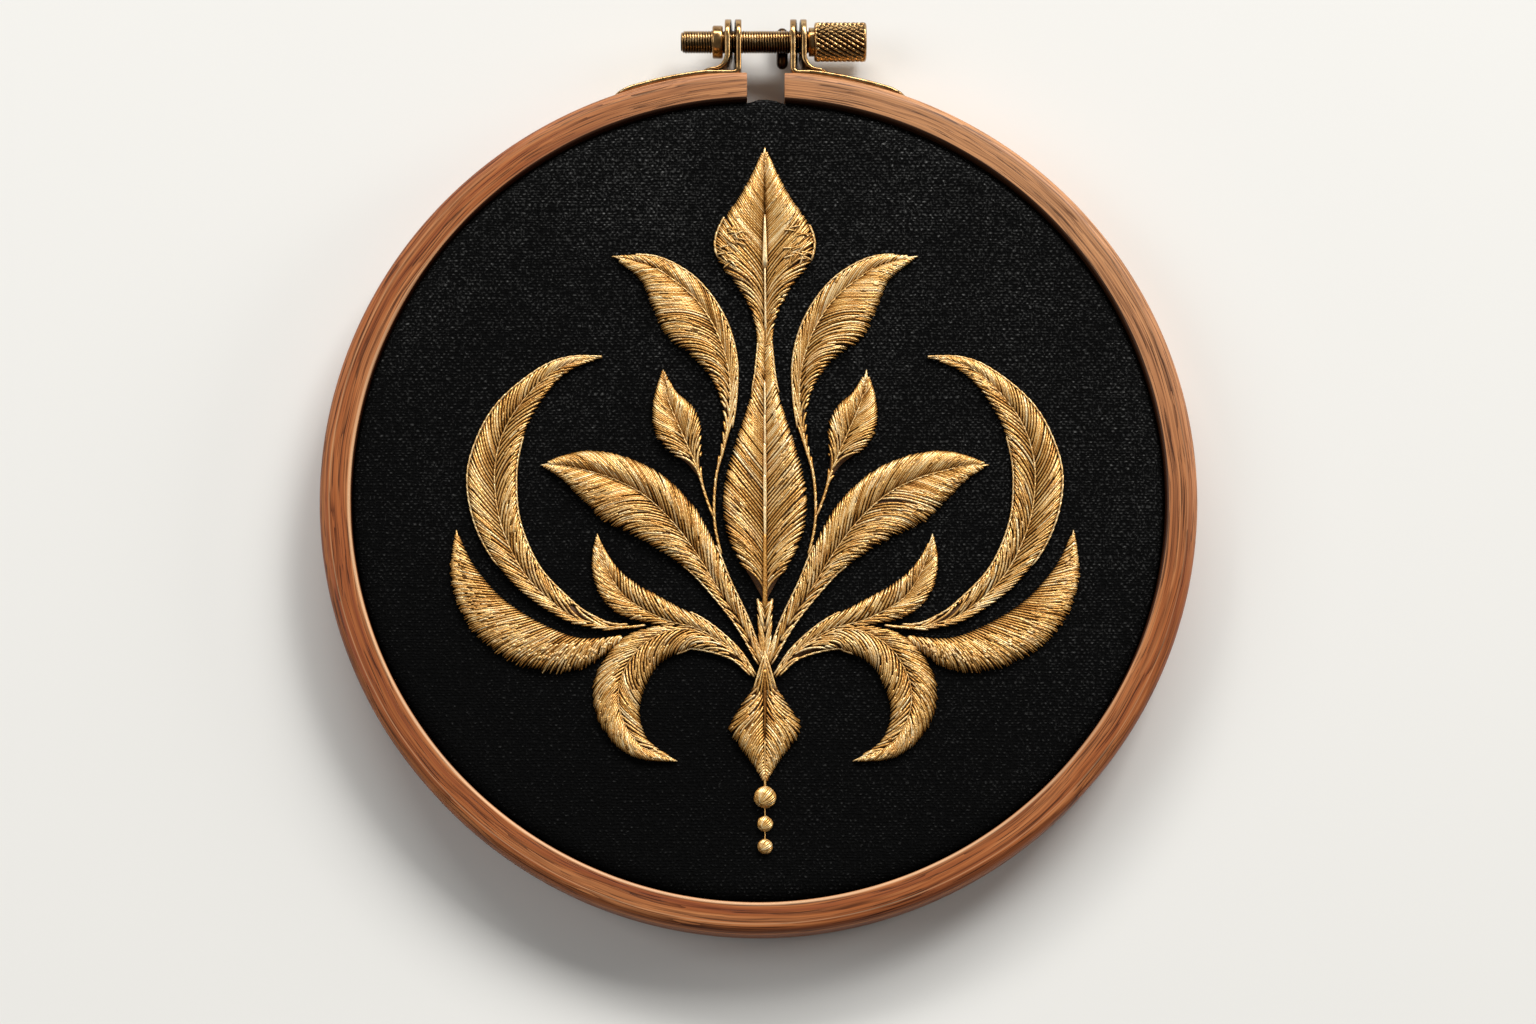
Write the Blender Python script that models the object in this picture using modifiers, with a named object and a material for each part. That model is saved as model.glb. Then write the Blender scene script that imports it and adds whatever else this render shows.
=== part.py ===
"""Hoop embroidery art: black linen stretched in a wooden embroidery hoop, with padded gold-thread motifs.

The hoop lies on its back. +Z is up, out of the cloth's face, and +Y runs to the brass tightening screw.
All sizes are in millimetres. Each piece is modelled about the hoop's own axis, and an empty on that
axis carries the pieces to the part's frame. The origin is the bottom centre of the whole part.
"""

import math

import bmesh
import bpy
from mathutils import Matrix, Vector

MM = 0.001
MERGE = 0.00002
SEAT_GAP = 0.3            # clearance left between touching pieces

# outer ring
RING_OUTER_R = 82.5
RING_INNER_R = 76.5
RING_DEPTH = 12.0
RING_ROUND_R = 1.9        # rounding of the front outer edge
RING_CHAMFER = 0.5        # the other three edges
RING_FLAT_Y = 81.85       # planed flat that the straps sit on
RING_STEPS = 96
SPLIT_X = 1.4             # middle of the split at the top
SPLIT_WIDTH = 7.2

# cloth and inner ring
CLOTH_THICK = 1.0
CLOTH_TOP = 11.4
CLOTH_HEM_Z = 0.3         # the cloth is trimmed just inside the back of the rings
CLOTH_OUTER_R = RING_INNER_R - SEAT_GAP
INNER_RING_OUTER_R = CLOTH_OUTER_R - CLOTH_THICK - SEAT_GAP
INNER_RING_INNER_R = 71.0
INNER_RING_TOP = CLOTH_TOP - CLOTH_THICK - SEAT_GAP
INNER_RING_ROUND_R = 2.2
CLOTH_STEPS = 72

# tightening hardware
MID_Z = RING_DEPTH / 2
SCREW_Y = 89.6
STRAP_WIDTH = 8.8         # also the width of the ears
STRAP_THICK = 1.05
EAR_THICK = 1.25
EAR_TOP_R = STRAP_WIDTH / 2
EAR_TOP = SCREW_Y + EAR_TOP_R
EAR_HOLE_R = 2.5
STRAP_ARC_STEPS = 6
FLAT_HALF_WIDTH = math.sqrt(RING_OUTER_R ** 2 - RING_FLAT_Y ** 2)
LUG_FILLET_R = 2.6
LUG_FOOT_THICK = 0.8
LUG_FOOT_END = 0.35       # thickness of the foot at its tip
LUG_FOOT_REACH = 8.0

# screw, along X
SHANK_R = 2.2
SHANK_TIP_X = -15.0
SHANK_CHAMFER = 0.5
NECK_R = 2.8
KNOB_R = 3.8
KNOB_LENGTH = 10.1
KNOB_CHAMFER = 0.6
NECK_LENGTH = 1.05
NUT_OUTER_R = 3.2
NUT_BORE_R = SHANK_R + SEAT_GAP
NUT_LENGTH = 2.0
ROUND_STEPS = 24

# ears: x of the face that looks away from the split, one pair on each side of it
LEFT_LUG_X = -6.6
LEFT_EAR_X = -4.45
RIGHT_EAR_X = 7.25
RIGHT_LUG_X = 9.4

# far ends of the straps
LEFT_STRAP_END_X = -28.1
RIGHT_STRAP_END_X = 28.7

# pin behind the screw
PIN_R = 1.1
PIN_HALF_LENGTH = 4.15
PIN_Y = SCREW_Y - 0.25
PIN_STEPS = 12

# embroidery
MOTIF_X = 1.2             # middle line of the embroidery
MOTIF_BASE = CLOTH_TOP + SEAT_GAP
EDGE_HEIGHT = 0.35        # where the padding meets the cloth
PAD_HEIGHT = 2.0          # highest padding
CREST_BASE = 0.55
CREST_RISE = 0.22         # padding gained for each mm of a lobe's width
GROOVE_RISE = 0.12
CREST_PLACE = 0.5         # crest's place across a lobe
LEAST_HALF_WIDTH = 0.3
STATIONS_PER_ROW = 2

# part frame
HOOP_Y = -(EAR_TOP - RING_OUTER_R) / 2

# Motifs on the left of the middle line, from root to tip.
# Columns: x and y of the rib from the middle line and the hoop's axis, half-width on the
# left and on the right of the rib as it is followed to the tip.
SIDE_MOTIFS = {
    "leaf_upper": [
        (-9.2, -8.2, 0.4, 0.4),
        (-9.4, -3.0, 0.4, 0.4),
        (-9.0, 3.5, 0.4, 0.4),
        (-7.6, 9.0, 0.6, 0.5),
        (-6.7, 14.9, 1.1, 0.9),
        (-6.5, 19.9, 2.5, 1.2),
        (-7.0, 24.2, 4.1, 1.8),
        (-8.2, 28.5, 6.0, 2.3),
        (-10.0, 32.6, 8.0, 2.6),
        (-12.9, 36.9, 8.4, 2.8),
        (-16.7, 40.4, 6.8, 2.9),
        (-21.8, 43.7, 3.5, 2.0),
        (-29.0, 45.6, 0.0, 0.0),
    ],
    "leaf_small": [
        (-11.1, -2.0, 0.4, 0.4),
        (-11.8, 1.4, 0.4, 0.4),
        (-12.4, 3.6, 0.7, 0.5),
        (-13.4, 6.3, 1.6, 1.5),
        (-14.8, 9.5, 3.6, 3.1),
        (-16.1, 12.5, 4.5, 4.1),
        (-17.4, 15.5, 4.0, 3.7),
        (-18.5, 18.8, 2.4, 1.9),
        (-19.2, 23.6, 0.0, 0.0),
    ],
    "leaf_broad": [
        (-2.5, -28.6, 0.6, 0.6),
        (-4.8, -24.5, 0.9, 1.5),
        (-9.0, -17.9, 1.6, 2.8),
        (-12.4, -12.2, 3.2, 3.8),
        (-17.3, -5.6, 5.9, 5.0),
        (-22.7, -0.5, 7.5, 5.1),
        (-28.3, 2.5, 7.4, 4.8),
        (-33.9, 4.2, 4.6, 3.9),
        (-37.8, 5.0, 2.3, 2.2),
        (-42.1, 5.3, 0.0, 0.0),
    ],
    "crescent": [
        (-28.0, -25.6, 0.5, 0.6),
        (-32.0, -24.8, 0.8, 1.2),
        (-37.3, -22.7, 1.3, 2.4),
        (-44.6, -15.9, 2.7, 3.0),
        (-49.2, -6.7, 4.4, 3.5),
        (-50.7, 2.3, 5.1, 4.0),
        (-49.8, 9.5, 4.3, 3.9),
        (-46.8, 15.8, 3.5, 3.2),
        (-41.2, 22.2, 2.0, 2.0),
        (-36.4, 24.8, 1.2, 1.0),
        (-30.8, 26.0, 0.0, 0.0),
    ],
    "leaf_low": [
        (-3.9, -32.0, 0.3, 0.5),
        (-6.3, -29.2, 0.3, 1.0),
        (-12.1, -25.5, 0.3, 2.0),
        (-18.7, -23.6, 1.0, 3.1),
        (-24.3, -20.8, 2.6, 3.4),
        (-27.3, -18.2, 3.2, 3.0),
        (-29.3, -14.8, 2.8, 1.8),
        (-30.6, -11.5, 1.6, 0.8),
        (-31.4, -7.8, 0.0, 0.0),
    ],
    "plume": [
        (-30.6, -29.2, 1.4, 1.4),
        (-35.2, -30.3, 2.8, 2.8),
        (-40.5, -29.7, 3.8, 3.8),
        (-46.2, -27.2, 4.2, 4.2),
        (-51.4, -23.2, 3.9, 3.9),
        (-54.9, -18.3, 3.1, 3.1),
        (-56.8, -13.5, 1.9, 1.9),
        (-57.8, -7.1, 0.0, 0.0),
    ],
    "scroll": [
        (-4.1, -33.6, 0.5, 0.3),
        (-6.4, -31.2, 1.1, 0.3),
        (-11.9, -27.3, 2.8, 0.4),
        (-16.2, -26.6, 3.8, 0.6),
        (-20.4, -27.9, 4.3, 1.9),
        (-24.2, -31.2, 4.5, 3.4),
        (-26.9, -36.4, 4.6, 4.6),
        (-26.7, -42.0, 3.5, 4.1),
        (-23.1, -47.6, 1.8, 2.4),
        (-16.3, -50.5, 0.0, 0.0),
    ],
}

# Motifs on the middle line. Columns: y of the section, half-width there.
MIDDLE_MOTIFS = {
    "finial": [
        (28.6, 1.3), (31.8, 1.7), (36.0, 3.1), (40.0, 5.3), (44.0, 8.2),
        (48.2, 9.4), (52.5, 8.0), (57.0, 5.0), (62.0, 2.3), (67.0, 0.0),
    ],
    "spindle": [
        (-20.6, 0.5), (-17.5, 2.1), (-12.5, 5.1), (-7.0, 7.3), (-1.6, 7.8), (4.0, 7.1),
        (10.0, 5.4), (16.0, 3.4), (21.5, 2.0), (28.0, 1.2),
    ],
    "centre_stem": [(-30.6, 0.8), (-28.0, 1.1), (-21.2, 1.5)],
    "diamond": [
        (-54.8, 0.0), (-51.5, 1.9), (-47.8, 4.6), (-44.3, 6.5), (-41.0, 4.8),
        (-37.0, 2.2), (-34.0, 1.2), (-31.4, 0.6),
    ],
}

# Raised dots below the diamond. Columns: y of the centre, radius.
DOTS = {"dot_large": (-57.2, 2.0), "dot_middle": (-62.1, 1.45), "dot_small": (-66.3, 1.4)}
DOT_STEPS = 14

# Principled finishes: base colour, roughness, metallic.
FINISHES = {
    "cherry_wood": ((0.42, 0.19, 0.09), 0.45, 0.0),
    "plain_wood": ((0.55, 0.36, 0.20), 0.60, 0.0),
    "black_linen": ((0.012, 0.012, 0.013), 0.90, 0.0),
    "gold_thread": ((0.62, 0.40, 0.14), 0.38, 0.0),
    "aged_brass": ((0.42, 0.29, 0.12), 0.32, 1.0),
}


def clear_scene():
    for old in list(bpy.data.objects):
        bpy.data.objects.remove(old, do_unlink=True)


def collection(name):
    made = bpy.data.collections.new(name)
    bpy.context.scene.collection.children.link(made)
    return made


def material(name, finish):
    colour, roughness, metallic = FINISHES[finish]
    made = bpy.data.materials.new(name)
    made.use_nodes = True
    shader = made.node_tree.nodes["Principled BSDF"]
    shader.inputs["Base Color"].default_value = (*colour, 1.0)
    shader.inputs["Roughness"].default_value = roughness
    shader.inputs["Metallic"].default_value = metallic
    made.diffuse_color = (*colour, 1.0)
    return made


def place(name, mesh, finish, parts, hoop):
    """One named piece on the hoop's axis, with its own material."""
    piece = bpy.data.objects.new(name, mesh)
    mesh.materials.append(material(name + "_finish", finish))
    parts.objects.link(piece)
    piece.parent = hoop
    return piece


def shade_round(mesh, angle=35.0):
    mesh.shade_smooth()
    mesh.set_sharp_from_angle(angle=math.radians(angle))


def profile_mesh(name, points, closed):
    """Edges through (radius, height) points, ready for a Screw modifier about Z."""
    mesh = bpy.data.meshes.new(name)
    edges = [(i, i + 1) for i in range(len(points) - 1)]
    if closed:
        edges.append((len(points) - 1, 0))
    mesh.from_pydata([(r * MM, 0.0, z * MM) for r, z in points], edges, [])
    return mesh


def turn(piece, steps):
    screw = piece.modifiers.new("turn", "SCREW")
    screw.axis = "Z"
    screw.angle = math.tau
    screw.steps = steps
    screw.render_steps = steps
    screw.use_merge_vertices = True
    screw.merge_threshold = MERGE
    screw.use_smooth_shade = True
    return screw


def arc(centre, radius, start, end, steps):
    """Points on an arc, angles in degrees."""
    turns = [math.radians(start + (end - start) * i / steps) for i in range(steps + 1)]
    return [(centre[0] + radius * math.cos(a), centre[1] + radius * math.sin(a)) for a in turns]


def cut(piece, cutter, operation="DIFFERENCE"):
    boolean = piece.modifiers.new(operation.lower(), "BOOLEAN")
    boolean.operation = operation
    boolean.solver = "EXACT"
    boolean.object = cutter


def hide_cutter(cutter):
    cutter.hide_render = True
    cutter.display_type = "WIRE"


def box_cutter(name, low, high, cutters, hoop):
    mesh = bpy.data.meshes.new(name)
    shape = bmesh.new()
    bmesh.ops.create_cube(shape, size=1.0)
    size = [b - a for a, b in zip(low, high)]
    middle = [(a + b) / 2 for a, b in zip(low, high)]
    bmesh.ops.scale(shape, vec=Vector(size) * MM, verts=shape.verts)
    bmesh.ops.translate(shape, vec=Vector(middle) * MM, verts=shape.verts)
    shape.to_mesh(mesh)
    shape.free()
    cutter = bpy.data.objects.new(name, mesh)
    cutters.objects.link(cutter)
    cutter.parent = hoop
    hide_cutter(cutter)
    return cutter


def plate_mesh(name, outline, low, high, stand=None):
    """A flat outline given thickness between two heights. stand turns it from XY to its own plane."""
    shape = bmesh.new()
    floor = [shape.verts.new((x * MM, y * MM, low * MM)) for x, y in outline]
    face = shape.faces.new(floor)
    grown = bmesh.ops.extrude_face_region(shape, geom=[face])["geom"]
    raised = [v for v in grown if isinstance(v, bmesh.types.BMVert)]
    bmesh.ops.translate(shape, vec=(0.0, 0.0, (high - low) * MM), verts=raised)
    if stand is not None:
        bmesh.ops.transform(shape, matrix=stand, verts=shape.verts)
    bmesh.ops.recalc_face_normals(shape, faces=shape.faces)
    mesh = bpy.data.meshes.new(name)
    shape.to_mesh(mesh)
    shape.free()
    return mesh


def make_outer_ring(parts, cutters, hoop):
    round_centre = (RING_OUTER_R - RING_ROUND_R, RING_DEPTH - RING_ROUND_R)
    profile = [(RING_INNER_R, RING_DEPTH - RING_CHAMFER), (RING_INNER_R + RING_CHAMFER, RING_DEPTH)]
    profile += arc(round_centre, RING_ROUND_R, 90, 0, 4)
    profile += [
        (RING_OUTER_R, RING_CHAMFER),
        (RING_OUTER_R - RING_CHAMFER, 0.0),
        (RING_INNER_R + RING_CHAMFER, 0.0),
        (RING_INNER_R, RING_CHAMFER),
    ]
    ring = place("outer_ring", profile_mesh("outer_ring", profile, True), "cherry_wood", parts, hoop)
    turn(ring, RING_STEPS)
    split_low = (SPLIT_X - SPLIT_WIDTH / 2, RING_INNER_R - 6.0, -1.0)
    split_high = (SPLIT_X + SPLIT_WIDTH / 2, RING_OUTER_R + 2.0, RING_DEPTH + 1.0)
    cut(ring, box_cutter("split_cutter", split_low, split_high, cutters, hoop))
    flat_low = (-FLAT_HALF_WIDTH - 4.0, RING_FLAT_Y, -1.0)
    flat_high = (FLAT_HALF_WIDTH + 4.0, RING_OUTER_R + 2.0, RING_DEPTH + 1.0)
    cut(ring, box_cutter("flat_cutter", flat_low, flat_high, cutters, hoop))


def make_inner_ring(parts, hoop):
    round_centre = (INNER_RING_OUTER_R - INNER_RING_ROUND_R, INNER_RING_TOP - INNER_RING_ROUND_R)
    profile = [(INNER_RING_INNER_R, INNER_RING_TOP)]
    profile += arc(round_centre, INNER_RING_ROUND_R, 90, 0, 3)
    profile += [(INNER_RING_OUTER_R, 0.0), (INNER_RING_INNER_R, 0.0)]
    ring = place("inner_ring", profile_mesh("inner_ring", profile, True), "plain_wood", parts, hoop)
    turn(ring, CLOTH_STEPS)


def make_cloth(parts, hoop):
    outer_round = INNER_RING_ROUND_R + SEAT_GAP + CLOTH_THICK
    inner_round = INNER_RING_ROUND_R + SEAT_GAP
    round_centre = (CLOTH_OUTER_R - outer_round, CLOTH_TOP - outer_round)
    profile = [(0.0, CLOTH_TOP)]
    profile += arc(round_centre, outer_round, 90, 0, 4)
    profile += [(CLOTH_OUTER_R, CLOTH_HEM_Z), (CLOTH_OUTER_R - CLOTH_THICK, CLOTH_HEM_Z)]
    profile += arc(round_centre, inner_round, 0, 90, 4)
    profile += [(0.0, CLOTH_TOP - CLOTH_THICK)]
    cloth = place("cloth", profile_mesh("cloth", profile, False), "black_linen", parts, hoop)
    turn(cloth, CLOTH_STEPS)


def ear_cutters(cutters, hoop):
    """The round-topped shape that both straps and both lugs keep, and the hole for the screw."""
    outline = [(MID_Z - EAR_TOP_R, RING_INNER_R - 20.0), (MID_Z + EAR_TOP_R, RING_INNER_R - 20.0)]
    outline += arc((MID_Z, SCREW_Y), EAR_TOP_R, 0, 180, 12)
    stand = Matrix(((0, 0, 1, 0), (0, 1, 0, 0), (1, 0, 0, 0), (0, 0, 0, 1)))
    keep = bpy.data.objects.new("ear_keep", plate_mesh("ear_keep", outline, -40.0, 40.0, stand))
    hole_mesh = bpy.data.meshes.new("ear_hole")
    shape = bmesh.new()
    along_x = Matrix.Translation((0.0, SCREW_Y * MM, MID_Z * MM)) @ Matrix.Rotation(math.pi / 2, 4, "Y")
    bmesh.ops.create_cone(shape, cap_ends=True, segments=ROUND_STEPS, radius1=EAR_HOLE_R * MM,
                          radius2=EAR_HOLE_R * MM, depth=60.0 * MM, matrix=along_x)
    shape.to_mesh(hole_mesh)
    shape.free()
    hole = bpy.data.objects.new("ear_hole", hole_mesh)
    for cutter in (keep, hole):
        cutters.objects.link(cutter)
        cutter.parent = hoop
        hide_cutter(cutter)
    return keep, hole


def ring_arc(lift, start_x, end_x, steps):
    """Points that follow the outer ring's surface, lifted off it, from one x to another."""
    radius = RING_OUTER_R + lift
    xs = [start_x + (end_x - start_x) * i / steps for i in range(steps + 1)]
    return [(x, min(math.sqrt(radius ** 2 - x ** 2), RING_FLAT_Y + lift)) for x in xs]


def make_strap(name, side, ear_x, end_x, parts, cutters, hoop):
    """A strip on the outer ring, turned up at the split into an ear. side is -1 left, 1 right."""
    inner_x = ear_x - side * EAR_THICK
    under = ring_arc(SEAT_GAP, end_x, side * FLAT_HALF_WIDTH, STRAP_ARC_STEPS)
    over = ring_arc(SEAT_GAP + STRAP_THICK, side * FLAT_HALF_WIDTH, end_x, STRAP_ARC_STEPS)
    outline = under + [(inner_x, RING_FLAT_Y + SEAT_GAP), (inner_x, EAR_TOP + 1.0)]
    outline += [(ear_x, EAR_TOP + 1.0), (ear_x, RING_FLAT_Y + SEAT_GAP + STRAP_THICK)] + over
    mesh = plate_mesh(name, outline, MID_Z - STRAP_WIDTH, MID_Z + STRAP_WIDTH)
    strap = place(name, mesh, "aged_brass", parts, hoop)
    cut(strap, cutters[0], "INTERSECT")
    cut(strap, cutters[1])


def make_lug(name, side, ear_x, parts, cutters, hoop):
    """An outer ear whose foot flares along the strap. side is -1 left, 1 right."""
    lift = 2 * SEAT_GAP + STRAP_THICK
    inner_x = ear_x - side * EAR_THICK
    foot_top = RING_FLAT_Y + lift + LUG_FOOT_THICK
    foot_x = ear_x + side * LUG_FOOT_REACH
    sweep = arc((ear_x + side * LUG_FILLET_R, foot_top + LUG_FILLET_R), LUG_FILLET_R,
                180 if side > 0 else 0, 270 if side > 0 else -90, 5)
    under = ring_arc(lift, foot_x, side * FLAT_HALF_WIDTH, 2)
    tip = (foot_x, under[0][1] + LUG_FOOT_END)
    outline = under + [(inner_x, RING_FLAT_Y + lift), (inner_x, EAR_TOP + 1.0), (ear_x, EAR_TOP + 1.0)]
    outline += sweep + [tip]
    mesh = plate_mesh(name, outline, MID_Z - STRAP_WIDTH, MID_Z + STRAP_WIDTH)
    lug = place(name, mesh, "aged_brass", parts, hoop)
    cut(lug, cutters[0], "INTERSECT")
    cut(lug, cutters[1])


def lay_along_x(piece):
    """Turns a piece made about Z so that its axis is the screw's, with +Z to +X."""
    piece.location = (0.0, SCREW_Y * MM, MID_Z * MM)
    piece.rotation_euler = (0.0, math.pi / 2, 0.0)


def make_screw(parts, hoop):
    neck_x = RIGHT_LUG_X + SEAT_GAP
    knob_x = neck_x + NECK_LENGTH
    end_x = knob_x + KNOB_LENGTH
    profile = [
        (0.0, end_x),
        (KNOB_R - KNOB_CHAMFER, end_x),
        (KNOB_R, end_x - KNOB_CHAMFER),
        (KNOB_R, knob_x + KNOB_CHAMFER),
        (KNOB_R - KNOB_CHAMFER, knob_x),
        (NECK_R, knob_x),
        (NECK_R, neck_x),
        (SHANK_R, neck_x),
        (SHANK_R, SHANK_TIP_X + SHANK_CHAMFER),
        (SHANK_R - SHANK_CHAMFER, SHANK_TIP_X),
        (0.0, SHANK_TIP_X),
    ]
    screw = place("screw", profile_mesh("screw", profile, False), "aged_brass", parts, hoop)
    turn(screw, ROUND_STEPS)
    lay_along_x(screw)


def make_nut(parts, hoop):
    low = LEFT_LUG_X - SEAT_GAP - NUT_LENGTH
    high = LEFT_LUG_X - SEAT_GAP
    profile = [(NUT_BORE_R, high), (NUT_OUTER_R, high), (NUT_OUTER_R, low), (NUT_BORE_R, low)]
    nut = place("screw_nut", profile_mesh("screw_nut", profile, True), "aged_brass", parts, hoop)
    turn(nut, ROUND_STEPS)
    lay_along_x(nut)


def make_stop_pin(parts, hoop):
    straight = PIN_HALF_LENGTH - PIN_R
    profile = arc((0.0, straight), PIN_R, 90, 0, 3) + arc((0.0, -straight), PIN_R, 0, -90, 3)
    profile[0] = (0.0, PIN_HALF_LENGTH)
    profile[-1] = (0.0, -PIN_HALF_LENGTH)
    pin = place("stop_pin", profile_mesh("stop_pin", profile, False), "aged_brass", parts, hoop)
    turn(pin, PIN_STEPS)
    pin_x = RIGHT_EAR_X - EAR_THICK - SEAT_GAP - PIN_R
    pin_z = MID_Z - SHANK_R - SEAT_GAP - PIN_R
    pin.location = (pin_x * MM, PIN_Y * MM, pin_z * MM)
    pin.rotation_euler = (math.pi / 2, 0.0, 0.0)


def smooth_between(before, start, end, after, t):
    """Catmull-Rom value between start and end, for numbers in matching columns."""
    def blend(a, b, c, d):
        return 0.5 * (2 * b + (c - a) * t + (2 * a - 5 * b + 4 * c - d) * t ** 2
                      + (3 * b - a - 3 * c + d) * t ** 3)
    return tuple(blend(*four) for four in zip(before, start, end, after))


def stations(rows, per_row):
    """Rows filled in along a smooth line through them."""
    padded = [rows[0]] + list(rows) + [rows[-1]]
    filled = []
    for i in range(1, len(padded) - 2):
        for step in range(per_row):
            filled.append(smooth_between(*padded[i - 1:i + 3], step / per_row))
    return filled + [tuple(rows[-1])]


def crest_height(width):
    return min(PAD_HEIGHT, CREST_BASE + CREST_RISE * width)


def motif_section(left, right):
    """A padded motif's section: distance to the left of its rib, and height off the cloth."""
    groove = CREST_BASE + GROOVE_RISE * (left + right) / 2
    return [
        (left, 0.0),
        (left, EDGE_HEIGHT),
        (left * CREST_PLACE, crest_height(left)),
        (0.0, groove),
        (-right * CREST_PLACE, crest_height(right)),
        (-right, EDGE_HEIGHT),
        (-right, 0.0),
    ]


def motif_mesh(name, rows, side):
    """A loft through padded sections square to the rib. side is 1 as listed, -1 mirrored."""
    line = stations(rows, STATIONS_PER_ROW)
    shape = bmesh.new()
    loops = []
    for i, (x, y, left, right) in enumerate(line):
        ahead = line[min(i + 1, len(line) - 1)]
        behind = line[max(i - 1, 0)]
        forward = Vector((ahead[0] - behind[0], ahead[1] - behind[1])).normalized()
        across = Vector((-forward.y, forward.x))
        section = motif_section(max(left, LEAST_HALF_WIDTH), max(right, LEAST_HALF_WIDTH))
        loop = []
        for offset, height in section:
            px = MOTIF_X + side * (x + across.x * offset)
            py = y + across.y * offset
            loop.append(shape.verts.new((px * MM, py * MM, (MOTIF_BASE + height) * MM)))
        loops.append(loop)
    count = len(loops[0])
    for one, two in zip(loops, loops[1:]):
        for k in range(count):
            shape.faces.new((one[k], one[(k + 1) % count], two[(k + 1) % count], two[k]))
    shape.faces.new(loops[0])
    shape.faces.new(loops[-1])
    bmesh.ops.recalc_face_normals(shape, faces=shape.faces)
    mesh = bpy.data.meshes.new(name)
    shape.to_mesh(mesh)
    shape.free()
    shade_round(mesh)
    return mesh


def make_motifs(parts, hoop):
    for name, rows in SIDE_MOTIFS.items():
        for suffix, side in (("_left", 1), ("_right", -1)):
            mesh = motif_mesh(name + suffix, rows, side)
            place(name + suffix, mesh, "gold_thread", parts, hoop)
    for name, rows in MIDDLE_MOTIFS.items():
        mesh = motif_mesh(name, [(0.0, y, half, half) for y, half in rows], 1)
        place(name, mesh, "gold_thread", parts, hoop)


def make_dots(parts, hoop):
    for name, (y, radius) in DOTS.items():
        profile = [(0.0, radius), (radius * 0.55, radius * 0.85), (radius * 0.9, radius * 0.5)]
        profile += [(radius, EDGE_HEIGHT), (radius, 0.0), (0.0, 0.0)]
        dot = place(name, profile_mesh(name, profile, False), "gold_thread", parts, hoop)
        turn(dot, DOT_STEPS)
        dot.location = (MOTIF_X * MM, y * MM, MOTIF_BASE * MM)


def main():
    clear_scene()
    parts = collection("hoop_embroidery")
    cutters = collection("cutters")
    hoop = bpy.data.objects.new("hoop_axis", None)
    parts.objects.link(hoop)
    hoop.location = (0.0, HOOP_Y * MM, 0.0)

    make_outer_ring(parts, cutters, hoop)
    make_inner_ring(parts, hoop)
    make_cloth(parts, hoop)
    ears = ear_cutters(cutters, hoop)
    make_strap("strap_left", -1, LEFT_EAR_X, LEFT_STRAP_END_X, parts, ears, hoop)
    make_strap("strap_right", 1, RIGHT_EAR_X, RIGHT_STRAP_END_X, parts, ears, hoop)
    make_lug("lug_left", -1, LEFT_LUG_X, parts, ears, hoop)
    make_lug("lug_right", 1, RIGHT_LUG_X, parts, ears, hoop)
    make_screw(parts, hoop)
    make_nut(parts, hoop)
    make_stop_pin(parts, hoop)
    make_motifs(parts, hoop)
    make_dots(parts, hoop)


main()
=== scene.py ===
"""Looks for the hoop embroidery art: wood, brass, black linen and laid gold thread.

Sizes are millimetres about the hoop's own axis, with z up from the plane it lies on, and are turned into
the part's frame where a mesh is made. The lights and the floor are in metres.
"""

import math

import bmesh
import bpy
import numpy as np
from mathutils import Matrix, Vector


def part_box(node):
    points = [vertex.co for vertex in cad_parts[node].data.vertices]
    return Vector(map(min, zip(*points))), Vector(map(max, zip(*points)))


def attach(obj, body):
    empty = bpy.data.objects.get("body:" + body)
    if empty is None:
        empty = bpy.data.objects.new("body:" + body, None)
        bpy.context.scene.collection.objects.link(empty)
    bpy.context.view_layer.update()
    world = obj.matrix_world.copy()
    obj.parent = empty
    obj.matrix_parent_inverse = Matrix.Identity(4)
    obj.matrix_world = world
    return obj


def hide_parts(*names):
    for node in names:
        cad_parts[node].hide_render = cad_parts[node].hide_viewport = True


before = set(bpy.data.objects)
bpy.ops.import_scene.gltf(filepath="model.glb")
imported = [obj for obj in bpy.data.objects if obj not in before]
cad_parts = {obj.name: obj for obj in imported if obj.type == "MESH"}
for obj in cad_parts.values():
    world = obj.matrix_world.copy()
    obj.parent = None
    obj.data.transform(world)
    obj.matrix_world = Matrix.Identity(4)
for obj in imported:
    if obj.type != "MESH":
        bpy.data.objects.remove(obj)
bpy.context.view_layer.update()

MM = 0.001
RING_OUTER_R = 82.5
RING_INNER_R = 76.5
RING_DEPTH = 12.0
RING_FLAT_Y = 81.85
SPLIT_LEFT_X = -2.2
SPLIT_RIGHT_X = 5.0
CLOTH_TOP = 11.4
CLOTH_HEM_Z = 0.3
CLOTH_OUTER_R = 76.2
CLOTH_ROLL_R = 3.5
CLOTH_ROLL_FLAT = 0.45                 # how shallow the roll is against a round one
LINEN_THICK = 0.55                     # more than the depth to which threads and padding reach in
SCREW_Y = 89.6
MID_Z = 6.0
MOTIF_X = 1.2
WEFT_PITCH = 0.60
WARP_PITCH = 0.52
THREAD_R = 0.228
THREAD_PITCH = 0.455
THREAD_SIDES = 6
THREAD_TINT = 0.64                     # the usual tint of a stitch, from 0 dark to 1 bright

# The hoop's axis in the part's frame.
ring_low, ring_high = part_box("outer_ring")
AXIS = np.array([(ring_low.x + ring_high.x) / 2, ring_low.y + RING_OUTER_R * MM, 0.0])


def linear(code):
    """A six-digit colour code as linear RGBA."""
    parts = [int(code[i:i + 2], 16) / 255 for i in (0, 2, 4)]
    return tuple(c / 12.92 if c <= 0.04045 else ((c + 0.055) / 1.055) ** 2.4 for c in parts) + (1.0,)


def unit(value):
    """The value kept between 0 and 1."""
    return np.clip(value, 0.0, 1.0)


def add_object(name, data):
    made = bpy.data.objects.new(name, data)
    bpy.context.scene.collection.objects.link(made)
    return made


# ---------------------------------------------------------------- camera, light and floor

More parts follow.
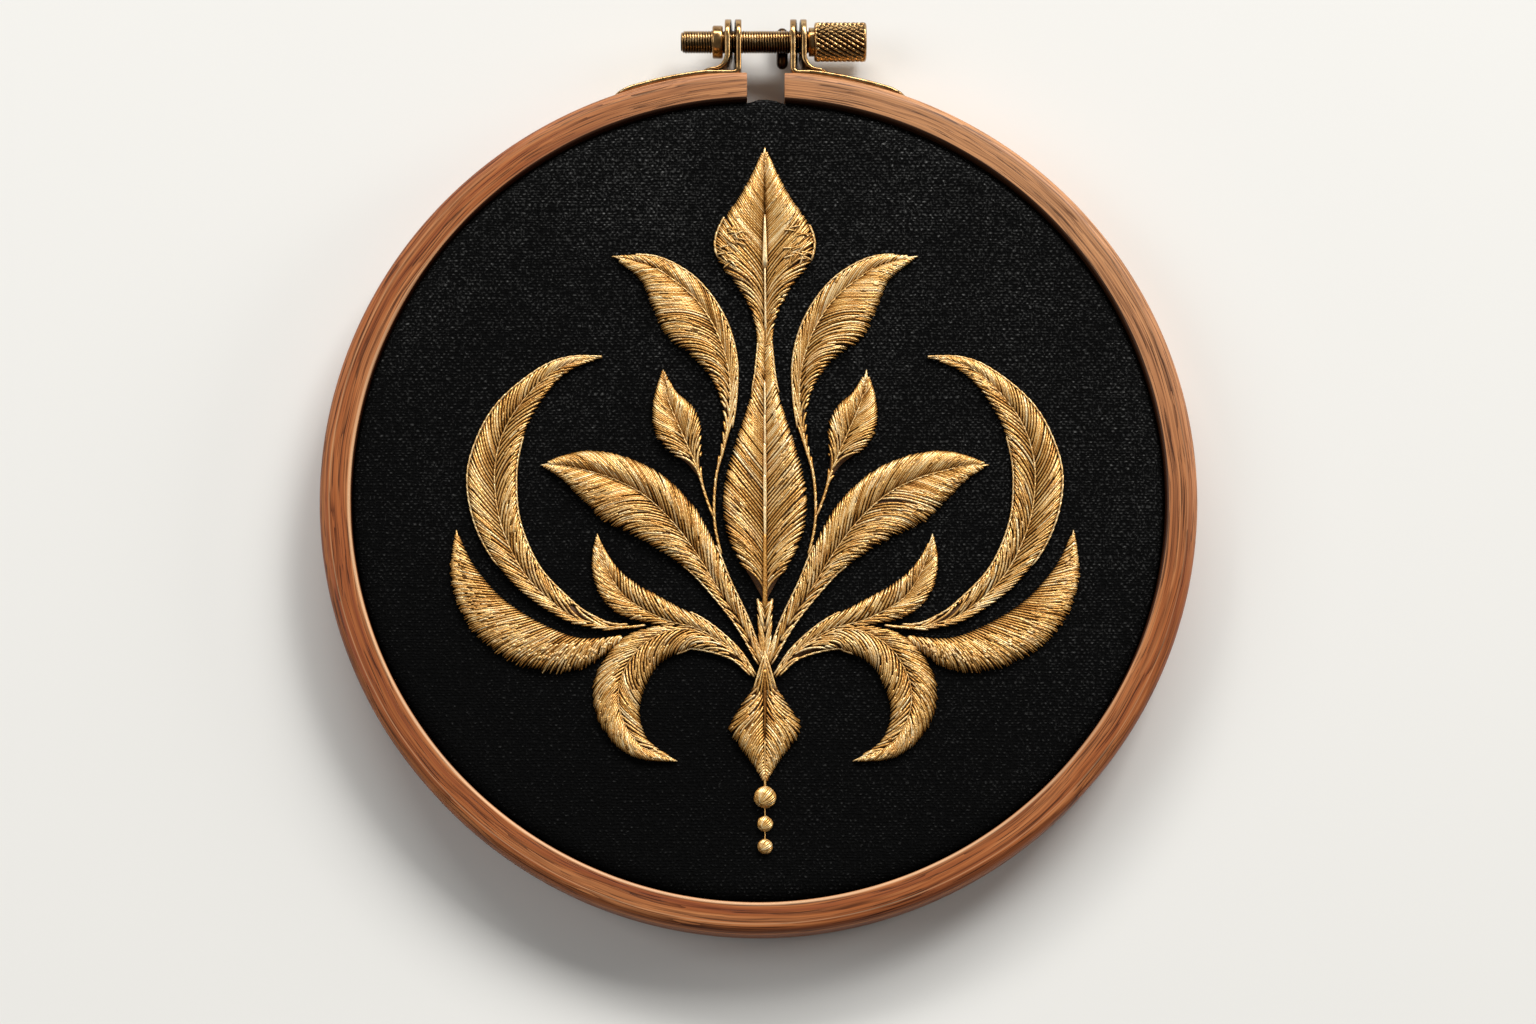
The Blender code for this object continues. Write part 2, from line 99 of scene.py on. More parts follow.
SENSOR_WIDTH = 36.0
CAMERA_TILT = math.radians(10.14)      # from square on to the face, towards the hoop's foot
CAMERA_DISTANCE = 700.0
FOCAL_PIXELS = 3701.0
PICTURE_WIDTH = 1536.0
CENTRE_SHIFT = (9.5, -13.8)            # pixels from the picture's centre to the hoop's, right and up


def make_camera():
    data = bpy.data.cameras.new("camera")
    data.sensor_width = SENSOR_WIDTH
    data.lens = SENSOR_WIDTH * FOCAL_PIXELS / PICTURE_WIDTH
    data.shift_x = CENTRE_SHIFT[0] / PICTURE_WIDTH
    data.shift_y = CENTRE_SHIFT[1] / PICTURE_WIDTH
    data.clip_start = 0.05
    data.clip_end = 20.0
    camera = add_object("camera", data)
    aim = Vector((AXIS[0], AXIS[1], MID_Z * MM))
    back = Vector((0.0, -math.sin(CAMERA_TILT), math.cos(CAMERA_TILT)))
    camera.location = aim + back * CAMERA_DISTANCE * MM
    camera.rotation_euler = (CAMERA_TILT, 0.0, 0.0)
    bpy.context.scene.camera = camera


def area_light(name, place, size, power, colour):
    data = bpy.data.lights.new(name, "AREA")
    data.shape = "RECTANGLE"
    data.size, data.size_y = size
    data.energy = power
    data.color = colour
    lamp = add_object(name, data)
    lamp.location = place
    lamp.rotation_euler = (-Vector(place)).to_track_quat("-Z", "Y").to_euler()


def make_light():
    world = bpy.data.worlds.new("studio")
    world.use_nodes = True
    shade = world.node_tree.nodes["Background"]
    shade.inputs["Color"].default_value = (1.0, 0.985, 0.965, 1.0)
    shade.inputs["Strength"].default_value = 0.16
    bpy.context.scene.world = world
    bpy.context.scene.view_settings.view_transform = "Standard"
    area_light("key", (1.50, 2.45, 1.95), (1.40, 1.40), 92.0, (1.0, 0.99, 0.975))
    area_light("top", (-0.10, 2.30, 1.45), (2.40, 0.45), 52.0, (1.0, 0.99, 0.975))
    area_light("side", (2.40, 0.70, 0.75), (0.80, 0.80), 15.0, (1.0, 0.985, 0.96))
    area_light("fill", (-1.6, 0.3, 1.3), (1.2, 1.2), 10.0, (0.97, 0.985, 1.0))


def make_floor():
    half, drop = 3.0, 0.0002
    mesh = bpy.data.meshes.new("floor")
    corners = [(x * half, y * half, -drop) for x, y in ((-1, -1), (1, -1), (1, 1), (-1, 1))]
    mesh.from_pydata(corners, [], [(0, 1, 2, 3)])
    floor = add_object("floor", mesh)
    surface = bpy.data.materials.new("floor_pale")
    surface.use_nodes = True
    shader = surface.node_tree.nodes["Principled BSDF"]
    shader.inputs["Base Color"].default_value = linear("E7E6E2")
    shader.inputs["Roughness"].default_value = 0.95
    mesh.materials.append(surface)


# ---------------------------------------------------------------- material helpers

class Value:
    """A number made by a shader node, so that sums of them read as sums."""

    def __init__(self, shade, socket):
        self.shade = shade
        self.socket = socket

    def __add__(self, other):
        return self.shade.math("ADD", self, other)

    def __sub__(self, other):
        return self.shade.math("SUBTRACT", self, other)

    def __mul__(self, other):
        return self.shade.math("MULTIPLY", self, other)

    def __truediv__(self, other):
        return self.shade.math("DIVIDE", self, other)


class Shade:
    """A material's node tree, with short calls to add nodes to it."""

    def __init__(self, name):
        self.material = bpy.data.materials.new(name)
        self.material.use_nodes = True
        self.tree = self.material.node_tree
        self.shader = self.tree.nodes["Principled BSDF"]

    def put(self, socket, value):
        if isinstance(value, Value):
            value = value.socket
        if isinstance(value, bpy.types.NodeSocket):
            self.tree.links.new(value, socket)
        elif value is not None:
            socket.default_value = value

    def node(self, kind, **settings):
        made = self.tree.nodes.new(kind)
        for key, value in settings.items():
            setattr(made, key, value)
        return made

    def math(self, operation, a, b=None):
        """A sum done by a node. b is left out for operations on one number."""
        made = self.node("ShaderNodeMath", operation=operation)
        self.put(made.inputs[0], a)
        self.put(made.inputs[1], b)
        return Value(self, made.outputs[0])

    def parts(self, vector):
        """The numbers that a vector is made of."""
        split = self.node("ShaderNodeSeparateXYZ")
        self.put(split.inputs[0], vector)
        return [Value(self, socket) for socket in split.outputs]

    def hoop_mm(self):
        """Place on the object, in millimetres from the hoop's axis, as x, y and z."""
        place = self.node("ShaderNodeTexCoord").outputs["Object"]
        moved = self.node("ShaderNodeVectorMath", operation="SUBTRACT")
        self.put(moved.inputs[0], place)
        self.put(moved.inputs[1], tuple(AXIS))
        scaled = self.node("ShaderNodeVectorMath", operation="SCALE")
        self.put(scaled.inputs[0], moved.outputs[0])
        self.put(scaled.inputs["Scale"], 1 / MM)
        return self.parts(scaled.outputs[0])

    def noise(self, x, y, z, scale, detail, roughness=0.55):
        vector = self.node("ShaderNodeCombineXYZ")
        for socket, value in zip(vector.inputs, (x, y, z)):
            self.put(socket, value)
        made = self.node("ShaderNodeTexNoise")
        self.put(made.inputs["Vector"], vector.outputs[0])
        settings = {"Scale": scale, "Detail": detail, "Roughness": roughness, "Distortion": 0.0}
        for key, value in settings.items():
            self.put(made.inputs[key], value)
        return Value(self, made.outputs["Fac"])

    def ramp(self, value, stops):
        made = self.node("ShaderNodeValToRGB")
        while len(made.color_ramp.elements) < len(stops):
            made.color_ramp.elements.new(0.5)
        for element, (place, colour) in zip(made.color_ramp.elements, stops):
            element.position = place
            element.color = linear(colour)
        self.put(made.inputs[0], value)
        return made.outputs[0]

    def grey(self, value, low, high, to_low=0.0, to_high=1.0):
        """The value's place between low and high, kept inside them, as a number from to_low to to_high."""
        made = self.node("ShaderNodeMapRange", clamp=True)
        for socket, number in zip(made.inputs, (value, low, high, to_low, to_high)):
            self.put(socket, number)
        return Value(self, made.outputs[0])

    def mix(self, factor, a, b, blend="MIX"):
        """Colour a turned by the factor towards the colour code b. Inputs 6 and 7 are the two colours."""
        made = self.node("ShaderNodeMix", data_type="RGBA", blend_type=blend)
        self.put(made.inputs["Factor"], factor)
        self.put(made.inputs[6], a)
        self.put(made.inputs[7], linear(b))
        return made.outputs[2]

    def attribute(self, name):
        return Value(self, self.node("ShaderNodeAttribute", attribute_name=name).outputs["Fac"])

    def bump(self, height, depth_mm, strength=1.0):
        made = self.node("ShaderNodeBump")
        self.put(made.inputs["Height"], height)
        self.put(made.inputs["Distance"], depth_mm * MM)
        self.put(made.inputs["Strength"], strength)
        return made.outputs[0]

    def finish(self, **sockets):
        for name, value in sockets.items():
            self.put(self.shader.inputs[name.replace("_", " ").title().replace("Ior", "IOR")], value)
        return self.material


def thread_material():
    """Satin gold thread: each stitch has its own tint, and a fine twist runs along it."""
    s = Shade("gold_thread")
    x, y, z = s.hoop_mm()
    fibre = s.noise(x, y, z, 5.0, detail=2.0)
    # The tint attribute carries painted shade under the threads and near ribs and edges, and painted
    # highlights on their tops.
    tint = s.attribute("tint") + s.grey(fibre, 0.3, 0.7, -0.13, 0.13)
    colour = s.ramp(tint, [(0.0, "2E1704"), (0.30, "80501A"), (0.55, "CC9346"), (0.75, "F0C47A"),
                           (1.0, "FFEABA")])
    blotch = s.noise(x, y, z, 0.30, detail=2.0)
    colour = s.mix(s.grey(blotch, 0.40, 0.70, 0.0, 0.35), colour, "C08A48", "MULTIPLY")
    length, around, _ = s.parts(s.node("ShaderNodeUVMap", uv_map="thread").outputs[0])
    twist = s.math("SINE", (length * 0.55 + around) * (math.tau * 2))
    return s.finish(base_color=colour, roughness=s.grey(fibre, 0.3, 0.7, 0.27, 0.40), metallic=0.38,
                    specular_tint=linear("FFE0B0"), normal=s.bump(twist, 0.022, 0.6))


def padding_material():
    """The laid padding and shadowed under-stitches seen between the threads."""
    s = Shade("thread_padding")
    x, y, z = s.hoop_mm()
    grain = s.noise(x, y, z, 3.0, detail=4.0)
    colour = s.ramp(grain, [(0.3, "2E1805"), (0.55, "5A360F"), (0.8, "7E521E")])
    return s.finish(base_color=colour, roughness=0.75, normal=s.bump(grain, 0.12, 0.8))


def linen_material():
    """Plain-weave black linen with slubs. Weft runs along x. Raised yarns are painted lighter than the
    hollows between them, as painted light and shade, and painted shade darkens it towards the bottom.
    """
    s = Shade("black_linen")
    x, y, z = s.hoop_mm()
    waver = s.noise(x * 0.10, y, z, 0.30, detail=2.0)
    sway = s.noise(x, y * 0.10, z, 0.30, detail=2.0)
    near = s.noise(x, y, z, 0.9, detail=2.0)
    aside = s.noise(y, x, z + 7.0, 0.9, detail=2.0)
    u = x / WARP_PITCH + sway * 3.0 + near * 1.5
    v = y / WEFT_PITCH + waver * 3.0 + aside * 0.9
    row, column = s.math("FLOOR", v), s.math("FLOOR", u)
    u_turn, v_turn = u * math.pi, v * math.pi
    dash = s.noise(u * 0.75, row * 3.7, 0.0, 1.0, detail=1.0)
    bar = s.noise(column * 3.7, v * 0.75, 5.0, 1.0, detail=1.0)
    over = s.grey(s.math("COSINE", u_turn + row * math.pi), -1.0, 1.0, 0.45, 1.0)
    weft = s.math("ABSOLUTE", s.math("SINE", v_turn)) * s.grey(dash, 0.36, 0.64, 0.38, 0.94) * over
    warp = s.math("ABSOLUTE", s.math("SINE", u_turn)) * s.grey(bar, 0.40, 0.66, 0.10, 0.62)
    fuzz = s.noise(x * 0.7, y, z, 2.6, detail=3.0, roughness=0.7)
    height = s.math("MAXIMUM", weft, warp) * 0.75 + s.grey(fuzz, 0.36, 0.66, 0.0, 0.36)
    tone = s.noise(x, y, z, 0.045, detail=3.0)
    # The raised yarns are painted lighter and the hollows between them darker, times a random tone: painted
    # light and shade.
    lit = s.math("POWER", height * 0.92, 1.5) * s.grey(tone, 0.3, 0.7, 0.85, 1.1)
    # Painted shade: darker towards the bottom and a little towards the left.
    lit = lit * s.grey(x * 0.30 + y, -60.0, 50.0, 0.58, 1.02)
    colour = s.ramp(lit, [(0.0, "020202"), (0.28, "0A0A0A"), (0.62, "363635"), (1.0, "787876")])
    return s.finish(base_color=colour, roughness=0.9, specular_ior_level=0.05,
                    normal=s.bump(height, 0.20, 1.0))


LOWER_LEFT = (-0.55, -0.83)

# Painted highlights along the edges, brightest at the lower left. Columns: distance from the axis,
# half-width, strength.
PAINTED_EDGE_HIGHLIGHTS = [(RING_OUTER_R - 1.95, 0.15, 0.24), (RING_INNER_R + 0.36, 0.38, 0.58)]


def wood_material(name, dark, middle, light, streak, pore_and_shade, edge_highlight_tint, painted_light_tint):
    """Wood bent to a ring: the grain runs round the hoop. Painted light makes the upper right paler,
    painted highlights run along the edges, and painted shade lies along the inner edge.
    """
    s = Shade(name)
    x, y, z = s.hoop_mm()
    along = s.math("ARCTAN2", x, y * -1.0) * RING_OUTER_R
    reach = s.math("SQRT", x * x + y * y)
    slow = along * 0.020
    drift = s.noise(slow, 0.0, 0.0, 1.0, detail=2.0)
    across = reach + drift * 2.6
    deep = z + drift * 1.6
    band = s.noise(slow, across, deep, 0.80, detail=4.0, roughness=0.6)
    sway = s.noise(slow, across * 0.35, deep * 0.35, 1.0, detail=3.0)
    late = s.math("POWER", s.math("FRACT", (across + deep * 0.6) * 0.80 + sway * 3.4), 5.0)
    broken = s.noise(along * 0.035, across, deep, 1.0, detail=2.0)
    streaks = late * s.grey(broken, 0.44, 0.54, 0.05, 1.0)
    fine = s.noise(along * 0.028, across * 3.4, deep * 3.4, 1.0, detail=2.5)
    cells = s.noise(along * 0.06, across * 3.6, deep * 3.6, 1.0, detail=2.5)
    pores = s.grey(cells, 0.575, 0.615)
    colour = s.ramp(s.grey(band, 0.30, 0.70), [(0.0, dark), (0.5, middle), (1.0, light)])
    towards = (x * LOWER_LEFT[0] + y * LOWER_LEFT[1]) / reach     # 1 at the lower left, -1 at the upper right
    # Painted light: the upper right is made paler.
    colour = s.mix(s.grey(towards, -0.35, -0.95, 0.0, 0.55), colour, painted_light_tint)
    colour = s.mix(s.grey(fine, 0.44, 0.66, 0.0, 0.50), colour, streak)
    colour = s.mix(streaks * 0.80, colour, streak)
    colour = s.mix(pores * 0.70, colour, pore_and_shade)
    # Painted highlights along the rounding and the inner edge, stronger towards the lower left.
    for edge_r, half_width, amount in PAINTED_EDGE_HIGHLIGHTS:
        away = s.math("ABSOLUTE", reach - edge_r)
        edge_highlight = s.grey(away, half_width, half_width * 0.3) * s.grey(z, 11.2, 11.6)
        colour = s.mix(edge_highlight * s.grey(towards, -0.3, 0.5, 0.12, amount), colour, edge_highlight_tint)
    # Painted shade along the inner edge, widest at the top and upper right, in the pore colour.
    shaded_edge_r = s.grey(towards, 0.1, -0.5, 0.10, 0.55) + RING_INNER_R
    colour = s.mix(s.grey(reach - shaded_edge_r, 0.0, -0.10) * 0.92, colour, pore_and_shade)
    return s.finish(base_color=colour, roughness=s.grey(band, 0.3, 0.7, 0.38, 0.48), specular_ior_level=0.24,
                    normal=s.bump(streaks * -0.6 - pores, 0.04, 0.35))


def brass_material(name, dark, middle, light):
    """Aged brass, darker where the attribute for grooves and shade is high: in grooves and creases, and as
    painted shade on the screw's side facing -y and on the ears' faces in the slot between them.
    """
    s = Shade(name)
    x, y, z = s.hoop_mm()
    cloud = s.noise(x, y, z, 0.45, detail=5.0, roughness=0.6)
    specks = s.noise(x, y, z, 3.5, detail=3.0)
    colour = s.ramp(cloud, [(0.25, dark), (0.5, middle), (0.78, light)])
    colour = s.mix(s.grey(specks, 0.60, 0.78, 0.0, 0.5), colour, "3E2A16")
    # Darker in grooves and creases, and painted shade where the mesh marks it.
    colour = s.mix(s.attribute("groove_and_shade") * 0.95, colour, "120A04")
    return s.finish(base_color=colour, metallic=1.0, roughness=s.grey(cloud, 0.3, 0.7, 0.17, 0.29),
                    normal=s.bump(specks, 0.02, 0.5))


# ---------------------------------------------------------------- mesh helpers

def painted_thread_shade(turn):
    """What a thread's tint gains round its section: painted shade underneath and a painted highlight on top.
    turn is from its side.
    """
    up = np.sin(turn)
    return np.interp(up, [-1.0, -0.5, 0.5, 1.0], [-0.78, -0.64, -0.17, 0.20])[None, :]


class Work:
    """Vertices and faces in hoop millimetres, with a tint, a darkening for grooves and painted shade, and
    thread UVs, for one piece.
    """

    def __init__(self):
        self.points = []
        self.tints = []
        self.groove_and_shade_values = []
        self.loops = []
        self.sizes = []
        self.uvs = []
        self.slots = []
        self.count = 0

    def add_grid(self, rings, tint=0.5, groove_and_shade=0.0, slot=0, ends=True, length=None):
        """Closed rings of points (n, m, 3), joined in order."""
        n, m = rings.shape[:2]
        first = self.count + np.arange(n * m).reshape(n, m)
        self.points.append(rings.reshape(-1, 3))
        self.tints.append(np.broadcast_to(tint, (n, m)).ravel())
        self.groove_and_shade_values.append(np.broadcast_to(groove_and_shade, (n, m)).ravel())
        self.count += n * m
        j = np.arange(m)
        k = (j + 1) % m
        quads = np.stack([first[:-1, j], first[:-1, k], first[1:, k], first[1:, j]], axis=-1)
        if length is None:
            length = np.arange(n, dtype=float)
        low = np.broadcast_to(length[:-1, None], (n - 1, m))
        high = np.broadcast_to(length[1:, None], (n - 1, m))
        left = np.broadcast_to(j / m, (n - 1, m))
        right = np.broadcast_to((j + 1) / m, (n - 1, m))
        pairs = ((low, left), (low, right), (high, right), (high, left))
        corners = np.stack([np.stack(pair, -1) for pair in pairs], axis=-2)
        self.add_faces(quads, corners, 4, slot)
        if ends:
            for ring, at in ((first[0, ::-1], length[0]), (first[-1], length[-1])):
                self.add_faces(ring, np.stack([np.full(m, at), np.linspace(0, 1, m)], -1), m, slot)
        return first

    def add_faces(self, corners, uvs, size, slot=0):
        """Faces with the same number of corners, given corner by corner."""
        corners = corners.reshape(-1)
        count = len(corners) // size
        self.loops.append(corners)
        self.uvs.append(uvs.reshape(-1, 2))
        self.sizes.append(np.full(count, size))
        self.slots.append(np.full(count, slot))

    def tube(self, path, radius, tint=0.5, flat=0.86):
        """A closed thread along a path (n, 3)."""
        path = np.asarray(path, float)
        ahead = np.gradient(path, axis=0)
        ahead /= np.linalg.norm(ahead, axis=1)[:, None] + 1e-12
        plan = ahead.copy()
        plan[:, 2] = 0.0
        size = np.linalg.norm(plan, axis=1)
        whole = path[-1] - path[0]
        whole[2] = 0.0
        whole /= np.linalg.norm(whole) + 1e-12
        weak = size < 0.05
        plan[weak] = whole
        size[weak] = 1.0
        plan /= size[:, None]
        across = np.stack([-plan[:, 1], plan[:, 0], np.zeros(len(plan))], -1)
        up = np.cross(ahead, across)
        up /= np.linalg.norm(up, axis=1)[:, None] + 1e-12
        turn = -math.pi / 2 + math.tau * np.arange(THREAD_SIDES) / THREAD_SIDES
        radius = np.broadcast_to(radius, len(path))[:, None, None]
        rings = path[:, None, :] + radius * (np.cos(turn)[None, :, None] * across[:, None, :]
                                             + flat * np.sin(turn)[None, :, None] * up[:, None, :])
        length = np.concatenate([[0.0], np.cumsum(np.linalg.norm(np.diff(path, axis=0), axis=1))])
        # Painted shade under each thread and a painted highlight along its top.
        shaded = np.broadcast_to(np.asarray(tint, float).reshape(-1, 1), (len(path), 1)) + painted_thread_shade(turn)
        self.add_grid(rings, tint=shaded, length=length)

    def make(self, name, materials, material_slot, replaces):
        points = np.concatenate(self.points) * MM + AXIS
        loops = np.concatenate(self.loops).astype(np.int32)
        sizes = np.concatenate(self.sizes)
        starts = np.concatenate([[0], np.cumsum(sizes)[:-1]]).astype(np.int32)
        mesh = bpy.data.meshes.new(name)
        mesh.vertices.add(len(points))
        mesh.vertices.foreach_set("co", points.astype(np.float32).ravel())
        mesh.loops.add(len(loops))
        mesh.loops.foreach_set("vertex_index", loops)
        mesh.polygons.add(len(sizes))
        mesh.polygons.foreach_set("loop_start", starts)
        mesh.polygons.foreach_set("material_index", np.concatenate(self.slots).astype(np.int32))
        mesh.polygons.foreach_set("use_smooth", np.full(len(sizes), True))
        mesh.update(calc_edges=True)
        along = mesh.uv_layers.new(name="thread")
        along.data.foreach_set("uv", np.concatenate(self.uvs).astype(np.float32).ravel())
        for key, values in (("tint", self.tints), ("groove_and_shade", self.groove_and_shade_values)):
            layer = mesh.attributes.new(key, "FLOAT", "POINT")
            layer.data.foreach_set("value", np.concatenate(values).astype(np.float32))
        for material in materials:
            mesh.materials.append(material)
        piece = add_object(name, mesh)
        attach(piece, "root")
        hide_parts(*replaces)
        return piece


def arc(centre, radius, start, end, steps):
    """Points of a round arc, between two angles in degrees."""
    turn = np.radians(np.linspace(start, end, steps + 1))
    return np.stack([centre[0] + radius * np.cos(turn), centre[1] + radius * np.sin(turn)], -1)


# ---------------------------------------------------------------- wooden rings

def make_outer_ring(material):
    """The split outer ring: one closed profile swept from one square end to the other."""
    rounding, edge, steps = 1.9, 0.62, 420
    profile = [arc((RING_INNER_R + edge, RING_DEPTH - edge), edge, 180, 90, 6),
               arc((RING_OUTER_R - rounding, RING_DEPTH - rounding), rounding, 90, 0, 8),
               np.array([(RING_OUTER_R, 0.6), (RING_OUTER_R - 0.15, 0.15), (RING_OUTER_R - 0.6, 0.0),
                         (RING_INNER_R + 0.6, 0.0), (RING_INNER_R + 0.15, 0.15), (RING_INNER_R, 0.6)])]
    profile = np.concatenate(profile)[::-1]
    share = np.linspace(0.0, 1.0, steps + 1)
    share = np.concatenate([[0.0, 0.0006], share[1:-1], [0.9994, 1.0]])
    rings = np.zeros((len(share), len(profile), 3))
    for j, (reach, height) in enumerate(profile):
        begin = math.asin(SPLIT_RIGHT_X / reach)
        finish = math.tau + math.asin(SPLIT_LEFT_X / reach)
        turn = begin + (finish - begin) * share
        rings[:, j, 0] = reach * np.sin(turn)
        rings[:, j, 1] = np.minimum(reach * np.cos(turn), RING_FLAT_Y)
        rings[:, j, 2] = height
    for end in (0, -1):
        middle = rings[end].mean(axis=0)
        rings[end] = middle + (rings[end] - middle) * np.array([1.0, 0.97, 0.985])
    work = Work()
    work.add_grid(rings)
    ring = work.make("ring_outer", [material], "outer_wood", replaces=["outer_ring"])
    ring.data.set_sharp_from_angle(angle=math.radians(16))


# ---------------------------------------------------------------- cloth

def make_cloth(material):
    """Linen stretched over the inner ring, rolled over its edge and pressed down inside the outer ring."""
    steps, ripple_height = 288, 0.018
    swell_reach, swell_x, swell_half = 0.75, 1.3, 2.6          # the bulge into the ring's split
    rng = np.random.default_rng(11)
    roll_rise = CLOTH_ROLL_R * CLOTH_ROLL_FLAT
    roll_centre = np.array([CLOTH_OUTER_R - CLOTH_ROLL_R, CLOTH_TOP - roll_rise])
    flat_reach = np.concatenate([np.linspace(0.6, 60.0, 45), np.linspace(60.0, roll_centre[0], 18)[1:]])

    def face(inset):
        """The section of the cloth's face, or of its back where inset is the thickness, out to the hem."""
        flat = np.stack([flat_reach, np.full(len(flat_reach), CLOTH_TOP - inset)], -1)
        roll = roll_centre + arc((0.0, 0.0), 1.0, 90, 0, 10)[1:] * (CLOTH_ROLL_R - inset, roll_rise - inset)
        side = np.array([(CLOTH_OUTER_R - inset, z) for z in (6.0, 3.0, 0.6, CLOTH_HEM_Z)])
        return np.concatenate([flat, roll, side])

    profile = np.concatenate([face(0.0), face(LINEN_THICK)[::-1]])
    turn = math.tau * np.arange(steps) / steps
    rings = np.zeros((len(profile), steps, 3))
    across = np.sin(turn) * CLOTH_OUTER_R
    near_split = np.where(np.cos(turn) > 0, 1.0, 0.0)
    swell = near_split * np.exp(-(((across - swell_x) / swell_half) ** 4)) * swell_reach
    for i, (reach, height) in enumerate(profile):
        outer_share = unit((reach - 70.0) / 6.2)
        lengthened = reach + swell * outer_share
        rings[i, :, 0] = lengthened * np.sin(turn)
        rings[i, :, 1] = lengthened * np.cos(turn)
        rings[i, :, 2] = height
    x, y = rings[..., 0], rings[..., 1]
    ripple = np.zeros_like(x)
    for _ in range(9):
        steep, heading, begin = rng.uniform(0.02, 0.09), rng.uniform(0, math.tau), rng.uniform(0, math.tau)
        ripple += np.sin(steep * (np.cos(heading) * x + np.sin(heading) * y) + begin)
    fade = unit((74.0 - np.hypot(x, y)) / 10.0)
    rings[..., 2] += ripple_height * ripple * fade
    work = Work()
    first = work.add_grid(rings, ends=False)
    for rim in (first[0, ::-1], first[-1]):
        work.add_faces(rim, np.zeros((steps, 2)), steps)
    cloth = work.make("linen", [material], "black_linen", replaces=["cloth"])


# ---------------------------------------------------------------- brass

def lay_on_screw(rings):
    """Points made about +Z, with z along the screw, moved to the screw's axis along +X."""
    moved = np.empty_like(rings)
    moved[..., 0] = rings[..., 2]
    moved[..., 1] = rings[..., 0] + SCREW_Y
    moved[..., 2] = rings[..., 1] + MID_Z
    return moved


def triangle_wave(value):
    """A triangle wave from 0 to 1, with period 1."""
    part = np.mod(value, 1.0)
    return 1.0 - np.abs(2.0 * part - 1.0)


def turned_rings(places, radii, sides, raise_by=0.0):
    """Rings about z at each place, with the surface raised at each point."""
    turn = math.tau * np.arange(sides) / sides
    reach = np.broadcast_to(np.asarray(radii)[:, None], (len(places), sides)) + raise_by
    height = np.broadcast_to(np.asarray(places)[:, None], reach.shape)
    return np.stack([reach * np.cos(turn), reach * np.sin(turn), height], -1)


def make_screw(material):
    """The thumb screw: a threaded shank, a plain neck and a diamond-knurled knob."""
    shank_from, neck_from, knob_from, knob_to = -15.0, 9.7, 10.75, 20.85
    outer_r, depth, pitch, sides = 2.2, 0.21, 0.52, 40
    work = Work()
    places = np.arange(shank_from, neck_from + 0.01, pitch / 8)
    turn = math.tau * np.arange(sides) / sides
    wave = triangle_wave(places[:, None] / pitch - turn[None, :] / math.tau)
    crest = unit(wave * 1.5)
    taper = unit((places - shank_from) / 0.7)[:, None]
    cut = -depth * (1.0 - crest) - 0.45 * (1 - taper)
    rings = turned_rings(places, np.full(len(places), outer_r), sides, cut)
    tip = turned_rings([shank_from - 0.02], [0.9], sides)
    rings = np.concatenate([tip, rings])
    # Painted shade on the shank's side facing -y, towards the hoop, added to the darkening in the thread's
    # grooves.
    underside = unit(0.15 - np.cos(turn)) ** 0.8
    groove_and_shade = unit(0.85 * (1.0 - crest) + 0.75 * underside)
    work.add_grid(lay_on_screw(rings), groove_and_shade=np.concatenate([np.zeros((1, sides)), groove_and_shade]))

    neck = [(neck_from, 2.1), (neck_from, 2.75), (neck_from + 0.06, 2.8), (knob_from + 0.1, 2.8)]
    rings = turned_rings([p for p, _ in neck], [r for _, r in neck], 48)
    work.add_grid(lay_on_screw(rings), groove_and_shade=np.array([[0.3], [0.1], [0.0], [0.6]]))

    around, rows, groove = 22, 6.0, 0.44
    sides, count = around * 8, 84
    places = np.linspace(knob_from, knob_to, count)
    turn = np.arange(sides) / sides
    share = (places - knob_from) / (knob_to - knob_from)
    one = triangle_wave(around * turn[None, :] + rows * share[:, None])
    two = triangle_wave(around * turn[None, :] - rows * share[:, None])
    diamond = unit(np.minimum(one * 1.4 + 0.35, two * 1.25))
    edge = np.minimum(places - knob_from, knob_to - places)
    band = unit((edge - 0.35) / 0.25)[:, None]
    soft = unit(edge / 0.45)
    radii = 3.8 - 0.50 * (1 - np.sqrt(1 - (1 - soft) ** 2))
    cut = -groove * (1 - diamond) * band
    rings = turned_rings(places, radii, sides, cut)
    caps_low = turned_rings([knob_from, knob_from], [0.5, 3.0], sides)
    caps_high = turned_rings([knob_to, knob_to], [3.0, 0.5], sides)
    # Darker in the knurl's grooves, with a little painted shade on the side facing -y.
    underside = unit(-0.1 - np.cos(math.tau * turn))[None, :]
    groove_and_shade = unit((0.62 - diamond) * 2.4 * band + 0.15 * underside)
    groove_and_shade = np.concatenate([np.zeros((2, sides)), groove_and_shade, np.zeros((2, sides))])
    work.add_grid(lay_on_screw(np.concatenate([caps_low, rings, caps_high])), groove_and_shade=groove_and_shade)
    screw = work.make("screw_brass", [material], "aged_brass", replaces=["screw"])
    screw.data.set_sharp_from_angle(angle=math.radians(50))


STRAP_THICK = 0.98
EAR_THICK = 1.05
EAR_TOP_R = 4.4
EAR_HOLE_R = 2.45
EAR_DRAFT = 0.55                       # how far an ear thickens towards the back, on the slot's side

# Bent strips. Columns: node, side (-1 left, 1 right), x of the ear's middle, x of the far end, bend radius,
# height of the underside off the ring, thickness at the far end, side of the slot between the two ears.
STRIPS = [
    ("strap_left", -1, -3.825, -28.1, 1.0, 0.02, 0.42, -1),
    ("strap_right", 1, 6.625, 28.7, 1.0, 0.02, 0.42, 1),
    ("lug_left", -1, -5.975, -11.4, 2.9, 0.98, 0.10, 1),
    ("lug_right", 1, 8.775, 14.2, 2.9, 0.98, 0.10, -1),
]


